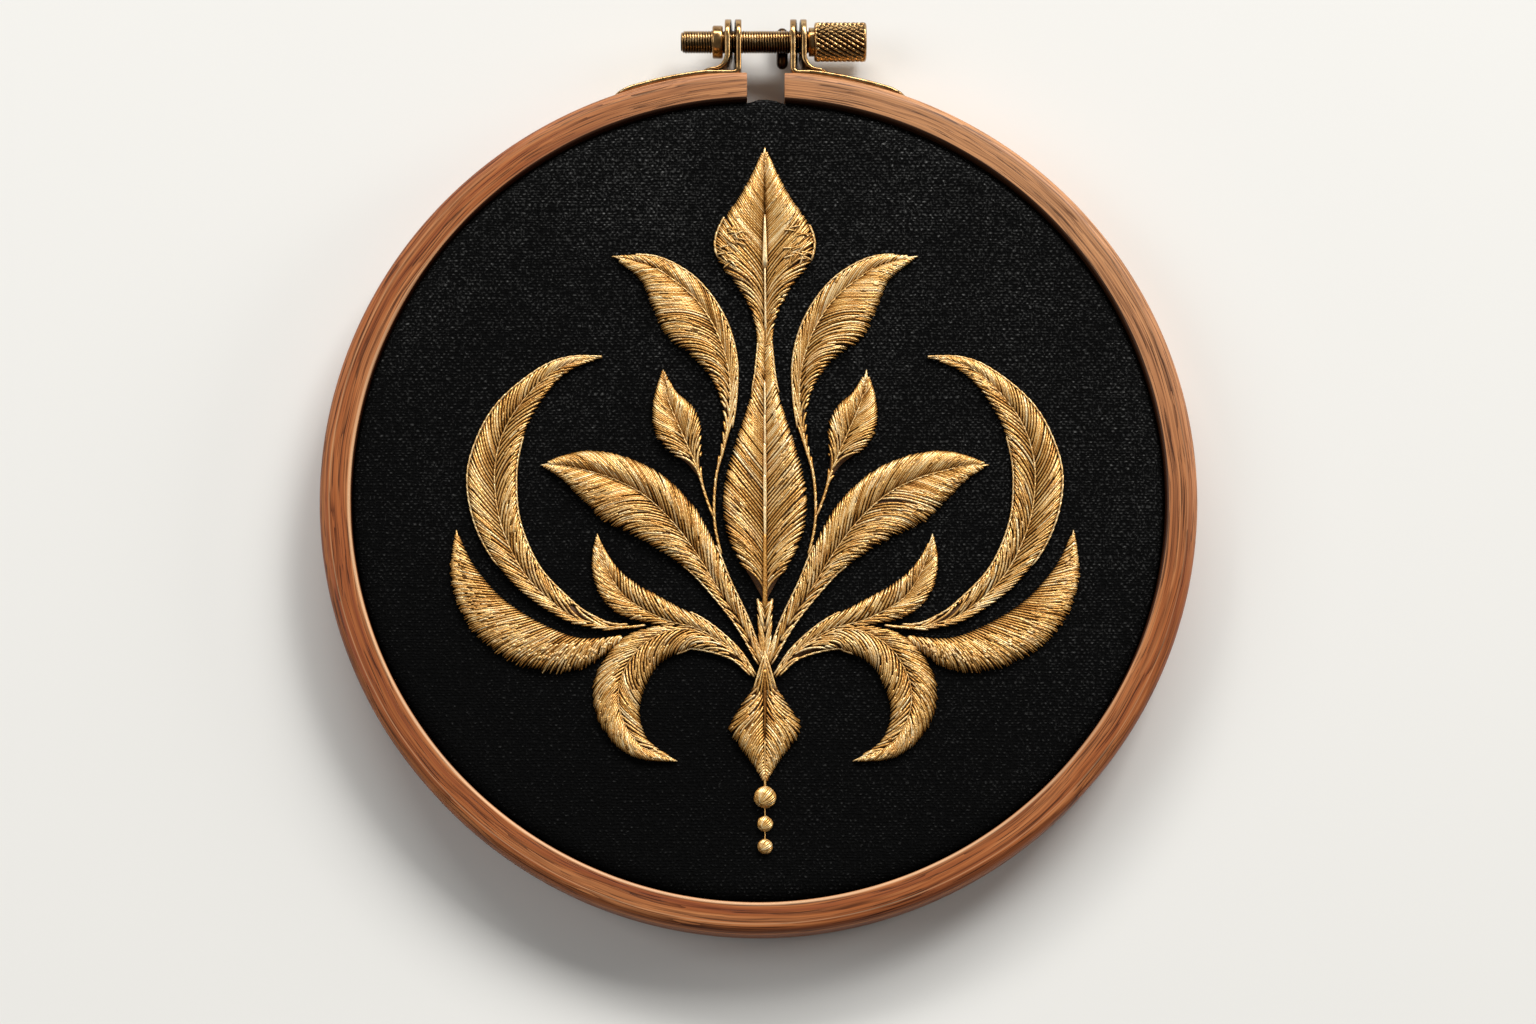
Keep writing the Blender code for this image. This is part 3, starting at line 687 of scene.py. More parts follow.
def strip_rings(side, ear_x, end_x, bend_r, lift, end_thick, slot_side):
    """A strip along the ring that turns up into a round-topped ear: rings of a rounded section, and how much
    painted shade each point gets on the ear's face in the slot between the two ears. The ear thickens towards
    the back on the side of the slot."""
    bend_x = ear_x + side * bend_r
    xs = np.linspace(end_x, bend_x, 40)
    along = np.abs(xs - end_x)
    thick = np.interp(along, [0.0, 3.5], [end_thick, STRAP_THICK if lift < 0.5 else 0.75])
    under = RING_OUTER_R + lift
    flat = RING_FLAT_Y + lift
    run = np.stack([xs, np.minimum(np.sqrt(under ** 2 - xs ** 2), flat) + thick / 2], -1)
    turn = np.radians(np.linspace(0, 90, 10)[1:])
    base = run[-1]
    bend = np.stack([bend_x - side * bend_r * np.sin(turn), base[1] + bend_r * (1 - np.cos(turn))], -1)
    rise = EAR_TOP_R * np.sin(np.radians(np.linspace(0, 84, 14)))
    ys = np.concatenate([np.linspace(bend[-1, 1], SCREW_Y, 8)[1:-1], SCREW_Y + rise])
    ear = np.stack([np.full(len(ys), ear_x), ys], -1)
    path = np.concatenate([run, bend, ear])
    ear_thick = np.interp(np.concatenate([bend[:, 1], ys]), [base[1], base[1] + 1.6], [thick[-1], EAR_THICK])
    top_round = np.sqrt(unit(1.0 - ((ys - SCREW_Y) / EAR_TOP_R).clip(0.0) ** 2))
    ear_thick[len(bend):] *= 0.75 + 0.25 * np.minimum(top_round * 3.0, 1.0)
    thick = np.concatenate([thick, ear_thick])
    half = np.full(len(path), EAR_TOP_R)
    half[:len(run)] *= np.sqrt(1.0 - (1.0 - (along / 2.5).clip(0.02, 1.0)) ** 2)
    half[-len(ys):] *= top_round
    half = np.maximum(half, thick / 2 + 0.02)
    ahead = np.gradient(path, axis=0)
    ahead /= np.linalg.norm(ahead, axis=1)[:, None]
    out = np.stack([-ahead[:, 1], ahead[:, 0]], -1)
    corner = np.minimum(0.40, thick / 2 * 0.96)
    ear_share = ((path[:, 1] - bend[-1, 1]) / 1.2).clip(0.0, 1.0)
    rings, slot_shade = [], []
    for sign_out, sign_up, first in ((1, 1, 0), (-1, 1, 90), (-1, -1, 180), (1, -1, 270)):
        for angle in np.radians(first + np.linspace(0, 90, 5)):
            across = sign_out * (thick / 2 - corner) + corner * math.cos(angle)
            up = sign_up * (half - corner) + corner * math.sin(angle)
            in_slot = -sign_out == slot_side
            if in_slot:
                across = across + sign_out * EAR_DRAFT * ear_share * (1.0 - up / EAR_TOP_R) / 2
            rings.append(np.concatenate([path + out * across[:, None], (MID_Z + up)[:, None]], axis=1))
            facing = sign_up < 0 or abs(math.cos(angle)) > 0.8
            # Painted shade on the ear's face towards the slot, where the two ears face each other.
            slot_shade.append(ear_share * (1.0 if in_slot and facing else 0.0))
    return np.stack(rings, axis=1), np.stack(slot_shade, axis=1)


def make_strips(material):
    """Straps and lugs, each one bent strip drilled for the screw."""
    drill_mesh = bpy.data.meshes.new("drill")
    shape = bmesh.new()
    centre = Matrix.Translation(Vector(AXIS) + Vector((0.0, SCREW_Y, MID_Z)) * MM)
    bmesh.ops.create_cone(shape, cap_ends=True, segments=40, radius1=EAR_HOLE_R * MM, radius2=EAR_HOLE_R * MM,
                          depth=60.0 * MM, matrix=centre @ Matrix.Rotation(math.pi / 2, 4, "Y"))
    shape.to_mesh(drill_mesh)
    shape.free()
    drill = add_object("drill", drill_mesh)
    for node, *sizes in STRIPS:
        work = Work()
        rings, slot_shade = strip_rings(*sizes)
        work.add_grid(rings, groove_and_shade=slot_shade)
        piece = work.make(node + "_brass", [material], "aged_brass", replaces=[node])
        shape = bmesh.new()
        shape.from_mesh(piece.data)
        bmesh.ops.recalc_face_normals(shape, faces=shape.faces)
        shape.to_mesh(piece.data)
        shape.free()
        hole = piece.modifiers.new("hole", "BOOLEAN")
        hole.operation = "DIFFERENCE"
        hole.object = drill
        graph = bpy.context.evaluated_depsgraph_get()
        drilled = bpy.data.meshes.new_from_object(piece.evaluated_get(graph))
        piece.modifiers.clear()
        piece.data = drilled
        drilled.name = piece.name
        drilled.shade_smooth()
        drilled.set_sharp_from_angle(angle=math.radians(40))
    bpy.data.objects.remove(drill)


def soften_cad(name, material, width, segments):
    """A CAD node that keeps its shape, with its edges softened and a new finish."""
    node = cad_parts[name]
    weld = node.modifiers.new("weld", "WELD")
    weld.merge_threshold = 0.00001
    bevel = node.modifiers.new("bevel", "BEVEL")
    bevel.width = width * MM
    bevel.segments = segments
    bevel.limit_method = "ANGLE"
    bevel.angle_limit = math.radians(32)
    bevel.harden_normals = True
    node.data.materials.clear()
    node.data.materials.append(material)
    node.data.shade_smooth()


# ---------------------------------------------------------------- embroidery

PAD_TOP = 2.0                          # height over the cloth that no padding reaches
PAD_INSET = 0.25                       # how far the padding stays inside a motif's edge

# Left-hand motifs, root to tip, mirrored for the right. Columns: x and y of the rib from the middle
# line and the hoop's axis, half-width on the left and on the right of the rib.
SIDE_ROWS = {
    "leaf_upper": [
        (-8.2, -11.7, 0.4, 0.4), (-9.3, -6.6, 0.4, 0.4), (-9.5, -1.5, 0.4, 0.4), (-9.0, 3.9, 0.4, 0.4),
        (-7.6, 9.0, 0.6, 0.5), (-6.7, 14.9, 1.1, 0.9), (-6.5, 19.9, 2.5, 1.2), (-7.0, 24.2, 4.1, 1.8),
        (-8.2, 28.5, 6.0, 2.3), (-10.0, 32.6, 8.0, 2.6), (-12.9, 36.9, 8.4, 2.8), (-16.7, 40.4, 6.8, 2.9),
        (-21.8, 43.7, 3.5, 2.0), (-29.0, 45.6, 0.0, 0.0),
    ],
    "leaf_small": [
        (-9.7, -4.6, 0.3, 0.3), (-11.1, -0.7, 0.3, 0.3), (-12.0, 2.4, 0.4, 0.4), (-12.6, 4.2, 0.9, 0.7),
        (-13.4, 6.3, 1.7, 1.5), (-14.8, 9.5, 3.6, 3.1), (-16.1, 12.5, 4.5, 4.1), (-17.4, 15.5, 4.0, 3.7),
        (-18.5, 18.8, 2.4, 1.9), (-19.2, 23.6, 0.0, 0.0),
    ],
    "leaf_broad": [
        (-0.8, -32.4, 0.4, 0.6), (-4.5, -24.8, 0.9, 1.6), (-9.0, -17.9, 1.6, 2.8), (-12.4, -12.2, 3.2, 3.8),
        (-17.3, -5.6, 5.9, 5.0), (-22.7, -0.5, 7.5, 5.1), (-28.3, 2.5, 7.4, 4.8), (-33.9, 4.2, 4.6, 3.9),
        (-37.8, 5.0, 2.3, 2.2), (-42.1, 5.3, 0.0, 0.0),
    ],
    "crescent": [
        (-22.3, -25.2, 0.3, 0.3), (-28.0, -25.6, 0.5, 0.6), (-32.0, -24.8, 0.8, 1.2),
        (-37.3, -22.7, 1.3, 2.4), (-44.6, -15.9, 2.7, 3.0), (-49.2, -6.7, 4.4, 3.5), (-50.7, 2.3, 5.1, 4.0),
        (-49.8, 9.5, 4.3, 3.9), (-46.8, 15.8, 3.5, 3.2), (-41.2, 22.2, 2.0, 2.0), (-36.4, 24.8, 1.2, 1.0),
        (-30.8, 26.0, 0.0, 0.0),
    ],
    "leaf_low": [
        (-2.0, -34.9, 0.3, 0.4), (-5.6, -30.2, 0.3, 0.9), (-11.9, -26.1, 0.3, 2.0),
        (-18.7, -24.1, 1.1, 3.4), (-24.3, -21.2, 2.8, 3.5), (-27.2, -18.6, 3.3, 3.1),
        (-29.2, -15.0, 3.0, 1.8), (-30.5, -11.5, 1.8, 0.8), (-31.4, -7.8, 0.0, 0.0),
    ],
    "plume": [
        (-26.6, -27.5, 0.5, 0.5), (-30.7, -29.2, 1.7, 1.7), (-35.2, -30.3, 2.9, 2.9),
        (-40.5, -29.7, 3.9, 3.9), (-46.2, -27.2, 4.2, 4.2), (-51.4, -23.2, 3.9, 3.9),
        (-54.9, -18.3, 3.1, 3.1), (-56.8, -13.5, 1.9, 1.9), (-57.8, -7.1, 0.0, 0.0),
    ],
    "scroll": [
        (-2.0, -35.0, 0.3, 0.2), (-5.6, -30.5, 1.1, 0.3), (-11.9, -26.6, 3.2, 0.3),
        (-15.6, -25.9, 4.2, 0.5), (-19.8, -27.0, 4.5, 1.8), (-24.0, -30.2, 4.6, 3.6),
        (-26.9, -35.9, 4.6, 4.7), (-26.7, -42.0, 3.5, 4.1), (-23.1, -47.6, 1.8, 2.4),
        (-16.3, -50.5, 0.0, 0.0),
    ],
}

# Middle motifs. Columns: y, half-width. The diamond is followed downwards.
MIDDLE_ROWS = {
    "finial": [
        (28.3, 1.3), (31.8, 1.7), (36.0, 3.1), (40.0, 5.3), (44.0, 8.3), (48.2, 9.4), (52.5, 8.0),
        (57.0, 5.0), (62.0, 2.3), (67.0, 0.0),
    ],
    "spindle": [
        (-21.3, 0.3), (-17.5, 2.1), (-12.5, 5.1), (-7.0, 7.3), (-1.6, 7.8), (4.0, 7.1), (10.0, 5.4),
        (16.0, 3.4), (21.5, 2.0), (28.6, 1.2),
    ],
    "centre_stem": [(-31.5, 0.8), (-28.0, 1.1), (-24.5, 1.3), (-20.6, 1.5)],
    "diamond": [
        (-31.2, 0.6), (-34.0, 1.2), (-37.0, 2.2), (-41.0, 4.8), (-44.3, 6.5), (-47.8, 4.6), (-51.5, 1.9),
        (-54.8, 0.0),
    ],
}

# How each motif is stitched. angles: degrees from rib to thread, at the rib and at the edge, on the left
# and then on the right. rough: short stitches laid over each side, per thread pitch of the rib. ragged:
# how far thread ends stray past the edge. slits: side, row and length of a gap between stitches. knots:
# how many bright knots lie near the root. cords: rows from and to, place across (0 on the rib, 1 on the
# left edge, -1 on the right), radius at each end.
STYLES = {
    "leaf_upper": dict(angles=((27, 46), (17, 24)), rough=(0.35, 0.2), ragged=(0.05, 0.01),
                       slits=[(1, 8.9, 0.7)],
                       cords=[(0, 4.6, 0, 0.25, 0.25), (4.6, 11.8, 0, 0.20, 0.13),
                              (4.6, 12.4, -0.99, 0.21, 0.17)]),
    "leaf_small": dict(angles=((28, 40), (25, 34)), rough=(0.15, 0.6), ragged=(0.04, 0.05),
                       cords=[(0, 3, 0, 0.24, 0.25), (3, 8.0, 0, 0.20, 0.13)]),
    "leaf_broad": dict(angles=((25, 40), (24, 30)), rough=(1.4, 0.4), ragged=(0.06, 0.03),
                       slits=[(1, 4.6, 0.5)],
                       cords=[(1.8, 8.4, 0, 0.15, 0.13), (0, 3.0, -1.0, 0.20, 0.18),
                              (0, 3.0, 1.0, 0.18, 0.16)]),
    "crescent": dict(angles=((30, 34), (20, 28)), rough=(0.05, 0.5), ragged=(0.01, 0.02),
                     cords=[(0, 2, 0, 0.25, 0.22), (2, 10.6, 0, 0.19, 0.14), (4.4, 11.6, 1.0, 0.21, 0.17),
                            (0.6, 7.4, -1.0, 0.21, 0.18)]),
    "leaf_low": dict(angles=((26, 36), (30, 38)), rough=(0.8, 0.3), ragged=(0.05, 0.03),
                     cords=[(0, 7.6, 0, 0.17, 0.12), (0, 2.4, -1.0, 0.20, 0.17)]),
    "plume": dict(angles=((38, 68), (38, 68)), rough=(2.0, 0.0), ragged=(0.09, 0.0), knots=34, cords=[]),
    "scroll": dict(angles=((22, 34), (30, 42)), rough=(0.3, 1.2), ragged=(0.03, 0.07),
                   cords=[(1.0, 8.8, 0, 0.17, 0.12), (0.2, 3.4, 1.0, 0.18, 0.16)]),
    "finial": dict(angles=((26, 40), (28, 44)), rough=(0.35, 0.75), ragged=(0.02, 0.02),
                   cords=[(4.3, 6.15, 1.0, 0.25, 0.19), (4.2, 5.8, -1.0, 0.25, 0.19)]),
    "spindle": dict(angles=((32, 42), (34, 42)), rough=(0.45, 0.75), ragged=(0.02, 0.02),
                    cords=[(7.6, 9.0, 1.0, 0.2, 0.24), (7.6, 9.0, -1.0, 0.2, 0.24)]),
    "centre_stem": dict(angles=((14, 20), (14, 20)), rough=(0.0, 0.0), ragged=(0.05, 0.05), cords=[]),
    "diamond": dict(angles=((20, 46), (20, 46)), rough=(0.8, 0.5), ragged=(0.07, 0.07), cords=[]),
}
ROW_PARTS = 8


def catmull(rows, parts):
    """A Catmull-Rom curve through the rows, with this many steps from one to the next."""
    rows = np.asarray(rows, float)
    padded = np.concatenate([rows[:1], rows, rows[-1:]])
    made = []
    for i in range(1, len(padded) - 2):
        a, b, c, d = padded[i - 1:i + 3]
        for t in np.arange(parts) / parts:
            made.append(0.5 * (2 * b + (c - a) * t + (2 * a - 5 * b + 4 * c - d) * t ** 2
                               + (3 * b - a - 3 * c + d) * t ** 3))
    made.append(rows[-1])
    return np.array(made)


class Spine:
    """A motif's rib and its two half-widths, by length along the rib."""

    def __init__(self, rows, mirror=False):
        line = catmull(rows, ROW_PARTS)
        line[:, 2:] = np.maximum(line[:, 2:], 0.0)
        self.x, self.y = line[:, 0].copy(), line[:, 1].copy()
        self.left, self.right = line[:, 2].copy(), line[:, 3].copy()
        steps = np.hypot(np.diff(self.x), np.diff(self.y))
        self.s = np.concatenate([[0.0], np.cumsum(steps)])
        self.end = self.s[-1]
        dx, dy = np.gradient(self.x, self.s), np.gradient(self.y, self.s)
        size = np.hypot(dx, dy)
        self.nx, self.ny = -dy / size, dx / size
        self.sign = -1.0 if mirror else 1.0

    def row(self, number):
        """Length along the rib at a row of the table, which may lie between two rows."""
        return float(np.interp(number * ROW_PARTS, np.arange(len(self.s)), self.s))

    def width(self, s, side):
        return np.interp(s, self.s, self.left if side > 0 else self.right)

    def place(self, s, offset):
        """Plan position at a length along the rib and a distance to its left."""
        x = np.interp(s, self.s, self.x) + np.interp(s, self.s, self.nx) * offset
        y = np.interp(s, self.s, self.y) + np.interp(s, self.s, self.ny) * offset
        return MOTIF_X + self.sign * x, y


def lobe_height(v, width):
    """Height of the padding over the cloth, from the rib (v 0) to the edge (v 1) of a lobe."""
    v = unit(v)
    groove = np.minimum(0.40 + 0.06 * width, 0.70)
    crest = np.maximum(np.minimum(0.45 + 0.26 * width, PAD_TOP - 0.2), groove)
    rise = groove + (crest - groove) * np.sin(np.pi / 2 * np.minimum(v / 0.46, 1.0))
    fall = crest * np.sqrt(np.maximum(1.0 - unit((v - 0.46) / 0.54) ** 2.2, 0.0))
    return np.where(v < 0.46, rise, fall)


def single_height(v, width):
    """Height of padding that has no rib: one dome from edge to edge."""
    v = unit(v)
    crest = np.minimum(0.5 + 0.17 * width, PAD_TOP - 0.35)
    return crest * np.maximum(1.0 - np.abs(2.0 * v - 0.9).clip(0.0, 1.1) ** 2.6 / 1.1 ** 2.6, 0.0) ** 0.5


AT_EDGE = 0.93                         # share of the way across at which a thread counts as at the edge
LEAST_WIDTH = 0.42                     # where a lobe is narrower, no threads are laid across it
OPEN_GAP = 1.24 * THREAD_PITCH         # threads further apart than this get another between them
START_SINK = 0.35                      # how far a thread's start is sunk,
EDGE_SINK = 0.25                       # its end, into the cloth, where that is at the edge,
END_SINK = 0.45                        # and its end anywhere else
STITCH_ADVANCE = 0.62                  # share of a stem stitch's length after which the next one starts

# Shares of the way across, from a thread's start to its end, at which its path has points.
STEPS = np.array([0.0, 0.05, 0.13, 0.24, 0.36, 0.48, 0.60, 0.72, 0.83, 0.91, 0.97, 1.0])


class Stitcher:
    """Lays the threads of one motif."""

    def __init__(self, spine, style, seed, dome=False):
        self.spine = spine
        self.style = style
        self.rng = np.random.default_rng(seed)
        self.dome = dome
        self.work = Work()
        self.sides = (1,) if dome else (1, -1)
        self.slopes = {}
        for side in (1, -1):
            self.slopes[side] = [1 / math.tan(math.radians(angle)) for angle in self.of_side("angles", side)]

    def of_side(self, key, side):
        return self.style[key][side < 0]

    def offset(self, s, v, side):
        """Distance to the left of the rib. A domed motif is crossed from its right edge."""
        if self.dome:
            return -self.spine.width(s, -1) + v * self.lobe_width(s, side)
        return side * v * self.spine.width(s, side)

    def lobe_width(self, s, side):
        if self.dome:
            return self.spine.width(s, 1) + self.spine.width(s, -1)
        return self.spine.width(s, side)

    def lean(self, width):
        """How much closer to the rib's own direction the threads of a narrow lobe lie."""
        return 1.0 + 4.4 * math.exp(-width / 1.15)

    def run(self, s0, side, v, spread=1.0):
        """Length along the rib, for shares v of the way across, of the thread that leaves the rib at s0."""
        first, last = self.slopes[side]
        mean = (first + last) / 2 * spread
        reach = self.lobe_width(s0, side)
        for _ in range(3):
            reach = self.lobe_width(min(s0 + 0.6 * reach * mean * self.lean(reach), self.spine.end), side)
        mean *= self.lean(reach)
        room = max(self.spine.end - s0, 1e-6)
        go = room * (1.0 - math.exp(-max(reach, 0.15) * mean / room))
        share = (first * v + (last - first) * v * v / 2) * 2 / (first + last)
        return s0 + go * share

    def path(self, s0, side, v, spread=1.0):
        """Plan and height of the thread that leaves the rib at s0, for shares v of the way across."""
        s = np.clip(self.run(s0, side, v, spread), 0.0, self.spine.end)
        x, y = self.spine.place(s, self.offset(s, v, side))
        height = (single_height if self.dome else lobe_height)(v, self.lobe_width(s, side))
        return x, y, CLOTH_TOP + height + THREAD_R * 0.55

    def entry(self, s0, side):
        """Share of the way across at which a thread that would leave the rib before its root comes in."""
        v = np.linspace(0.0, 1.0, 41)
        inside = np.flatnonzero(self.run(s0, side, v) >= 0.0)
        return float(v[inside[0]]) if len(inside) else 1.0

    def lay(self, s0, side, v_from=0.0, v_to=1.0, lift=0.0, spread=1.0, radius=None, tint=None):
        rng = self.rng
        if s0 < 0.0:
            v_from = max(v_from, self.entry(s0, side))
        if v_to - v_from < 0.05:
            return
        v = v_from + (v_to - v_from) * STEPS
        x, y, z = self.path(s0, side, v, spread * rng.normal(1.0, 0.018))
        z = z + lift
        z[0] -= START_SINK + lift
        if v_to > AT_EDGE:
            z[-1] = CLOTH_TOP - EDGE_SINK
            z[-2] = max((z[-2] + CLOTH_TOP + 0.2) / 2, CLOTH_TOP + 0.15)
        else:
            z[-1] -= END_SINK
        radius = THREAD_R * rng.uniform(0.88, 1.12) if radius is None else radius
        tint = float(np.clip(rng.normal(THREAD_TINT, 0.12), 0.1, 1.0)) if tint is None else tint
        # Painted shade: each thread is darkened near the rib's groove and near the lobe's edge.
        shade_share = 0.12 * min(1.0, self.lobe_width(max(s0, 0.0), side) / 4.0)
        from_edge = 1.0 - np.minimum(v, 1.0)
        shaded = tint - 0.24 * np.exp(-v / max(shade_share, 0.02)) - 0.22 * np.exp(-from_edge / 0.08)
        shaded = shaded + rng.normal(0.0, 0.045, len(v))
        bulge = radius * np.interp(STEPS, [0.0, 0.08, 0.85, 1.0], [0.60, 1.0, 1.0, 0.42])
        self.work.tube(np.stack([x, y, z], -1), bulge, tint=shaded)

    def stray(self, side):
        return 1.0 + self.rng.uniform(-0.25, 1.0) * self.of_side("ragged", side)

    def between(self, a, b, side, depth, v_least):
        """Extra threads where two neighbours spread apart, each begun where the gap opens."""
        xa, ya, _ = self.path(a, side, STEPS)
        xb, yb, _ = self.path(b, side, STEPS)
        dx, dy = np.gradient(xa), np.gradient(ya)
        gap = np.abs((xb - xa) * dy - (yb - ya) * dx) / (np.hypot(dx, dy) + 1e-9)
        wide = np.flatnonzero(gap > OPEN_GAP)
        if not len(wide):
            return
        start = max(STEPS[wide[0]], v_least)
        if start > AT_EDGE:
            return
        start = 0.0 if start < 0.1 else max(start + self.rng.uniform(-0.10, 0.03), 0.0)
        middle = (a + b) / 2
        self.lay(middle, side, v_from=start, v_to=self.stray(side), lift=self.rng.uniform(-0.05, 0.03))
        if depth < 3:
            self.between(a, middle, side, depth + 1, start)
            self.between(middle, b, side, depth + 1, start)

    def fill(self):
        """The full-length threads, from root to tip on each side, and those that fill the gaps."""
        rng = self.rng
        for side in self.sides:
            slits = [(self.spine.row(row), length)
                     for of, row, length in self.style.get("slits", []) if of == side]
            starts = []
            s = -float(self.run(0.0, side, np.ones(1))[0])
            while s < self.spine.end - 0.3:
                starts.append(s)
                slope = self.slopes[side][0] * self.lean(self.lobe_width(s, side))
                s += THREAD_PITCH * math.hypot(1.0, slope) * rng.uniform(0.92, 1.08)
            for s, ahead in zip(starts, starts[1:] + [self.spine.end]):
                outer = float(self.run(s, side, np.ones(1))[0])
                if self.lobe_width(np.clip(0.3 * s + 0.7 * outer, 0.0, self.spine.end), side) < LEAST_WIDTH:
                    continue
                slit = any(at <= s < at + length for at, length in slits)
                if not slit:
                    self.lay(s, side, v_to=self.stray(side), lift=rng.uniform(-0.06, 0.06))
                if ahead < self.spine.end - 0.3:
                    self.between(s, ahead, side, 0, 0.0)

    def roughen(self):
        """Short stitches over each side, fine dark ones among them that stand in for shadowed gaps as painted
        shade, and any bright knots near the root.
        """
        rng = self.rng
        for side in self.sides:
            count = int(self.of_side("rough", side) * self.spine.end / THREAD_PITCH)
            for _ in range(count):
                s = rng.uniform(0.04, 0.93) * self.spine.end
                if self.lobe_width(min(s + 1.5, self.spine.end), side) < 1.6:
                    continue
                start = rng.uniform(0.22, 0.84)
                reach = rng.uniform(0.12, 0.30)
                end = min(start + reach, 1.0 + 0.5 * self.of_side("ragged", side))
                self.lay(s, side, v_from=start, v_to=end,
                         lift=rng.uniform(0.04, 0.15), spread=rng.uniform(0.75, 1.3),
                         radius=THREAD_R * rng.uniform(0.7, 1.0),
                         tint=float(np.clip(rng.normal(THREAD_TINT, 0.10), 0.1, 1.0)))
            # Fine dark stitches: painted shade standing in for the shadowed gaps between threads.
            for _ in range(int(count * 0.45)):
                s = rng.uniform(0.04, 0.93) * self.spine.end
                start = rng.uniform(0.25, 0.80)
                if self.lobe_width(min(s + 1.5, self.spine.end), side) > 1.8:
                    self.lay(s, side, v_from=start, v_to=start + rng.uniform(0.10, 0.24),
                             lift=rng.uniform(0.13, 0.17), radius=THREAD_R * rng.uniform(0.30, 0.42),
                             tint=0.12)
        for _ in range(self.style.get("knots", 0)):
            s = rng.uniform(0.0, 0.35) * self.spine.end
            start = rng.uniform(0.48, 0.80)
            self.lay(s, 1, v_from=start, v_to=start + rng.uniform(0.05, 0.08), lift=0.22,
                     radius=THREAD_R * rng.uniform(0.9, 1.15), tint=0.80)

    def tip(self):
        """Threads that run together to the point."""
        rng = self.rng
        if self.spine.width(self.spine.end, 1) > 0.3:
            return
        for k in range(6):
            side = 1 if k % 2 else -1
            s = np.linspace(self.spine.end - rng.uniform(1.8, 5.5), self.spine.end, 9)
            width = self.spine.width(s, side)
            aside = rng.uniform(0.0, 0.8) * np.linspace(1.0, 0.0, 9) ** 0.8
            x, y = self.spine.place(s, side * width * aside)
            z = CLOTH_TOP + lobe_height(aside, width) * np.linspace(1.0, 0.5, 9) + 0.22
            z[0] -= 0.45
            z[-1] = CLOTH_TOP + 0.05
            self.work.tube(np.stack([x, y, z], -1), np.linspace(THREAD_R, THREAD_R * 0.55, 9),
                           tint=float(rng.uniform(0.6, 0.95)))

    def cord(self, s_from, s_to, across, r_from, r_to):
        """Overlapping stem stitches along the rib or an edge."""
        rng = self.rng
        side = 1 if across >= 0 else -1
        s = s_from
        while s < s_to - 0.3:
            stitch = min(rng.uniform(1.9, 2.7), s_to - s)
            t = np.linspace(0.0, 1.0, 9)
            at = s + stitch * t
            x, y = self.spine.place(at, across * (self.spine.width(at, side) + 0.06) + 0.11 * (2 * t - 1))
            if abs(across) < 0.5:
                width = np.maximum(self.spine.width(at, 1), self.spine.width(at, -1))
                base = CLOTH_TOP + lobe_height(np.zeros(9), width) + 0.16
            else:
                base = np.full(9, CLOTH_TOP + 0.60)
            z = base + 0.14 * np.sin(np.pi * t)
            z[0] -= 0.3
            z[-1] -= 0.3
            radius = np.interp(s, [s_from, s_to], [r_from, r_to]) * (0.6 + 0.4 * np.sin(np.pi * t) ** 0.5)
            tint = rng.uniform(0.56, 0.78) if abs(across) < 0.5 else rng.uniform(0.68, 0.86)
            self.work.tube(np.stack([x, y, z], -1), radius, tint=float(tint), flat=1.0)
            s += stitch * STITCH_ADVANCE

    def pad(self):
        """The padding below the threads: a loft that stays inside them."""
        s = np.linspace(0.0, self.spine.end, max(int(self.spine.end / 0.9), 12))
        ease = np.clip(s / 2.5, 0.02, 1.0) ** 0.5
        left = np.maximum((self.spine.width(s, 1) - PAD_INSET) * ease, 0.05)
        right = np.maximum((self.spine.width(s, -1) - PAD_INSET) * ease, 0.05)
        if self.dome:
            shares = np.array([0.0, 0.04, 0.15, 0.3, 0.45, 0.6, 0.75, 0.88, 0.96, 1.0])
            whole = left + right
            sections = [(-right + a * whole, single_height(0.02 + 0.95 * a, whole)) for a in shares[::-1]]
        else:
            shares = np.array([0.97, 0.92, 0.75, 0.5, 0.25, 0.0])
            sections = [(left * a, lobe_height(a, left)) for a in shares]
            sections += [(-right * a, lobe_height(a, right)) for a in shares[::-1][1:]]
        rings = []
        for offset, height in sections:
            x, y = self.spine.place(s, offset)
            rings.append(np.stack([x, y, CLOTH_TOP + np.maximum(height * ease - 0.20, 0.02)], -1))
        for offset, _ in (sections[-1], sections[0]):
            x, y = self.spine.place(s, offset)
            rings.append(np.stack([x, y, np.full(len(s), CLOTH_TOP - 0.2)], -1))
        grid = np.stack(rings, axis=1)
        if self.spine.sign < 0:
            grid = grid[:, ::-1]
        self.work.add_grid(grid, slot=1)


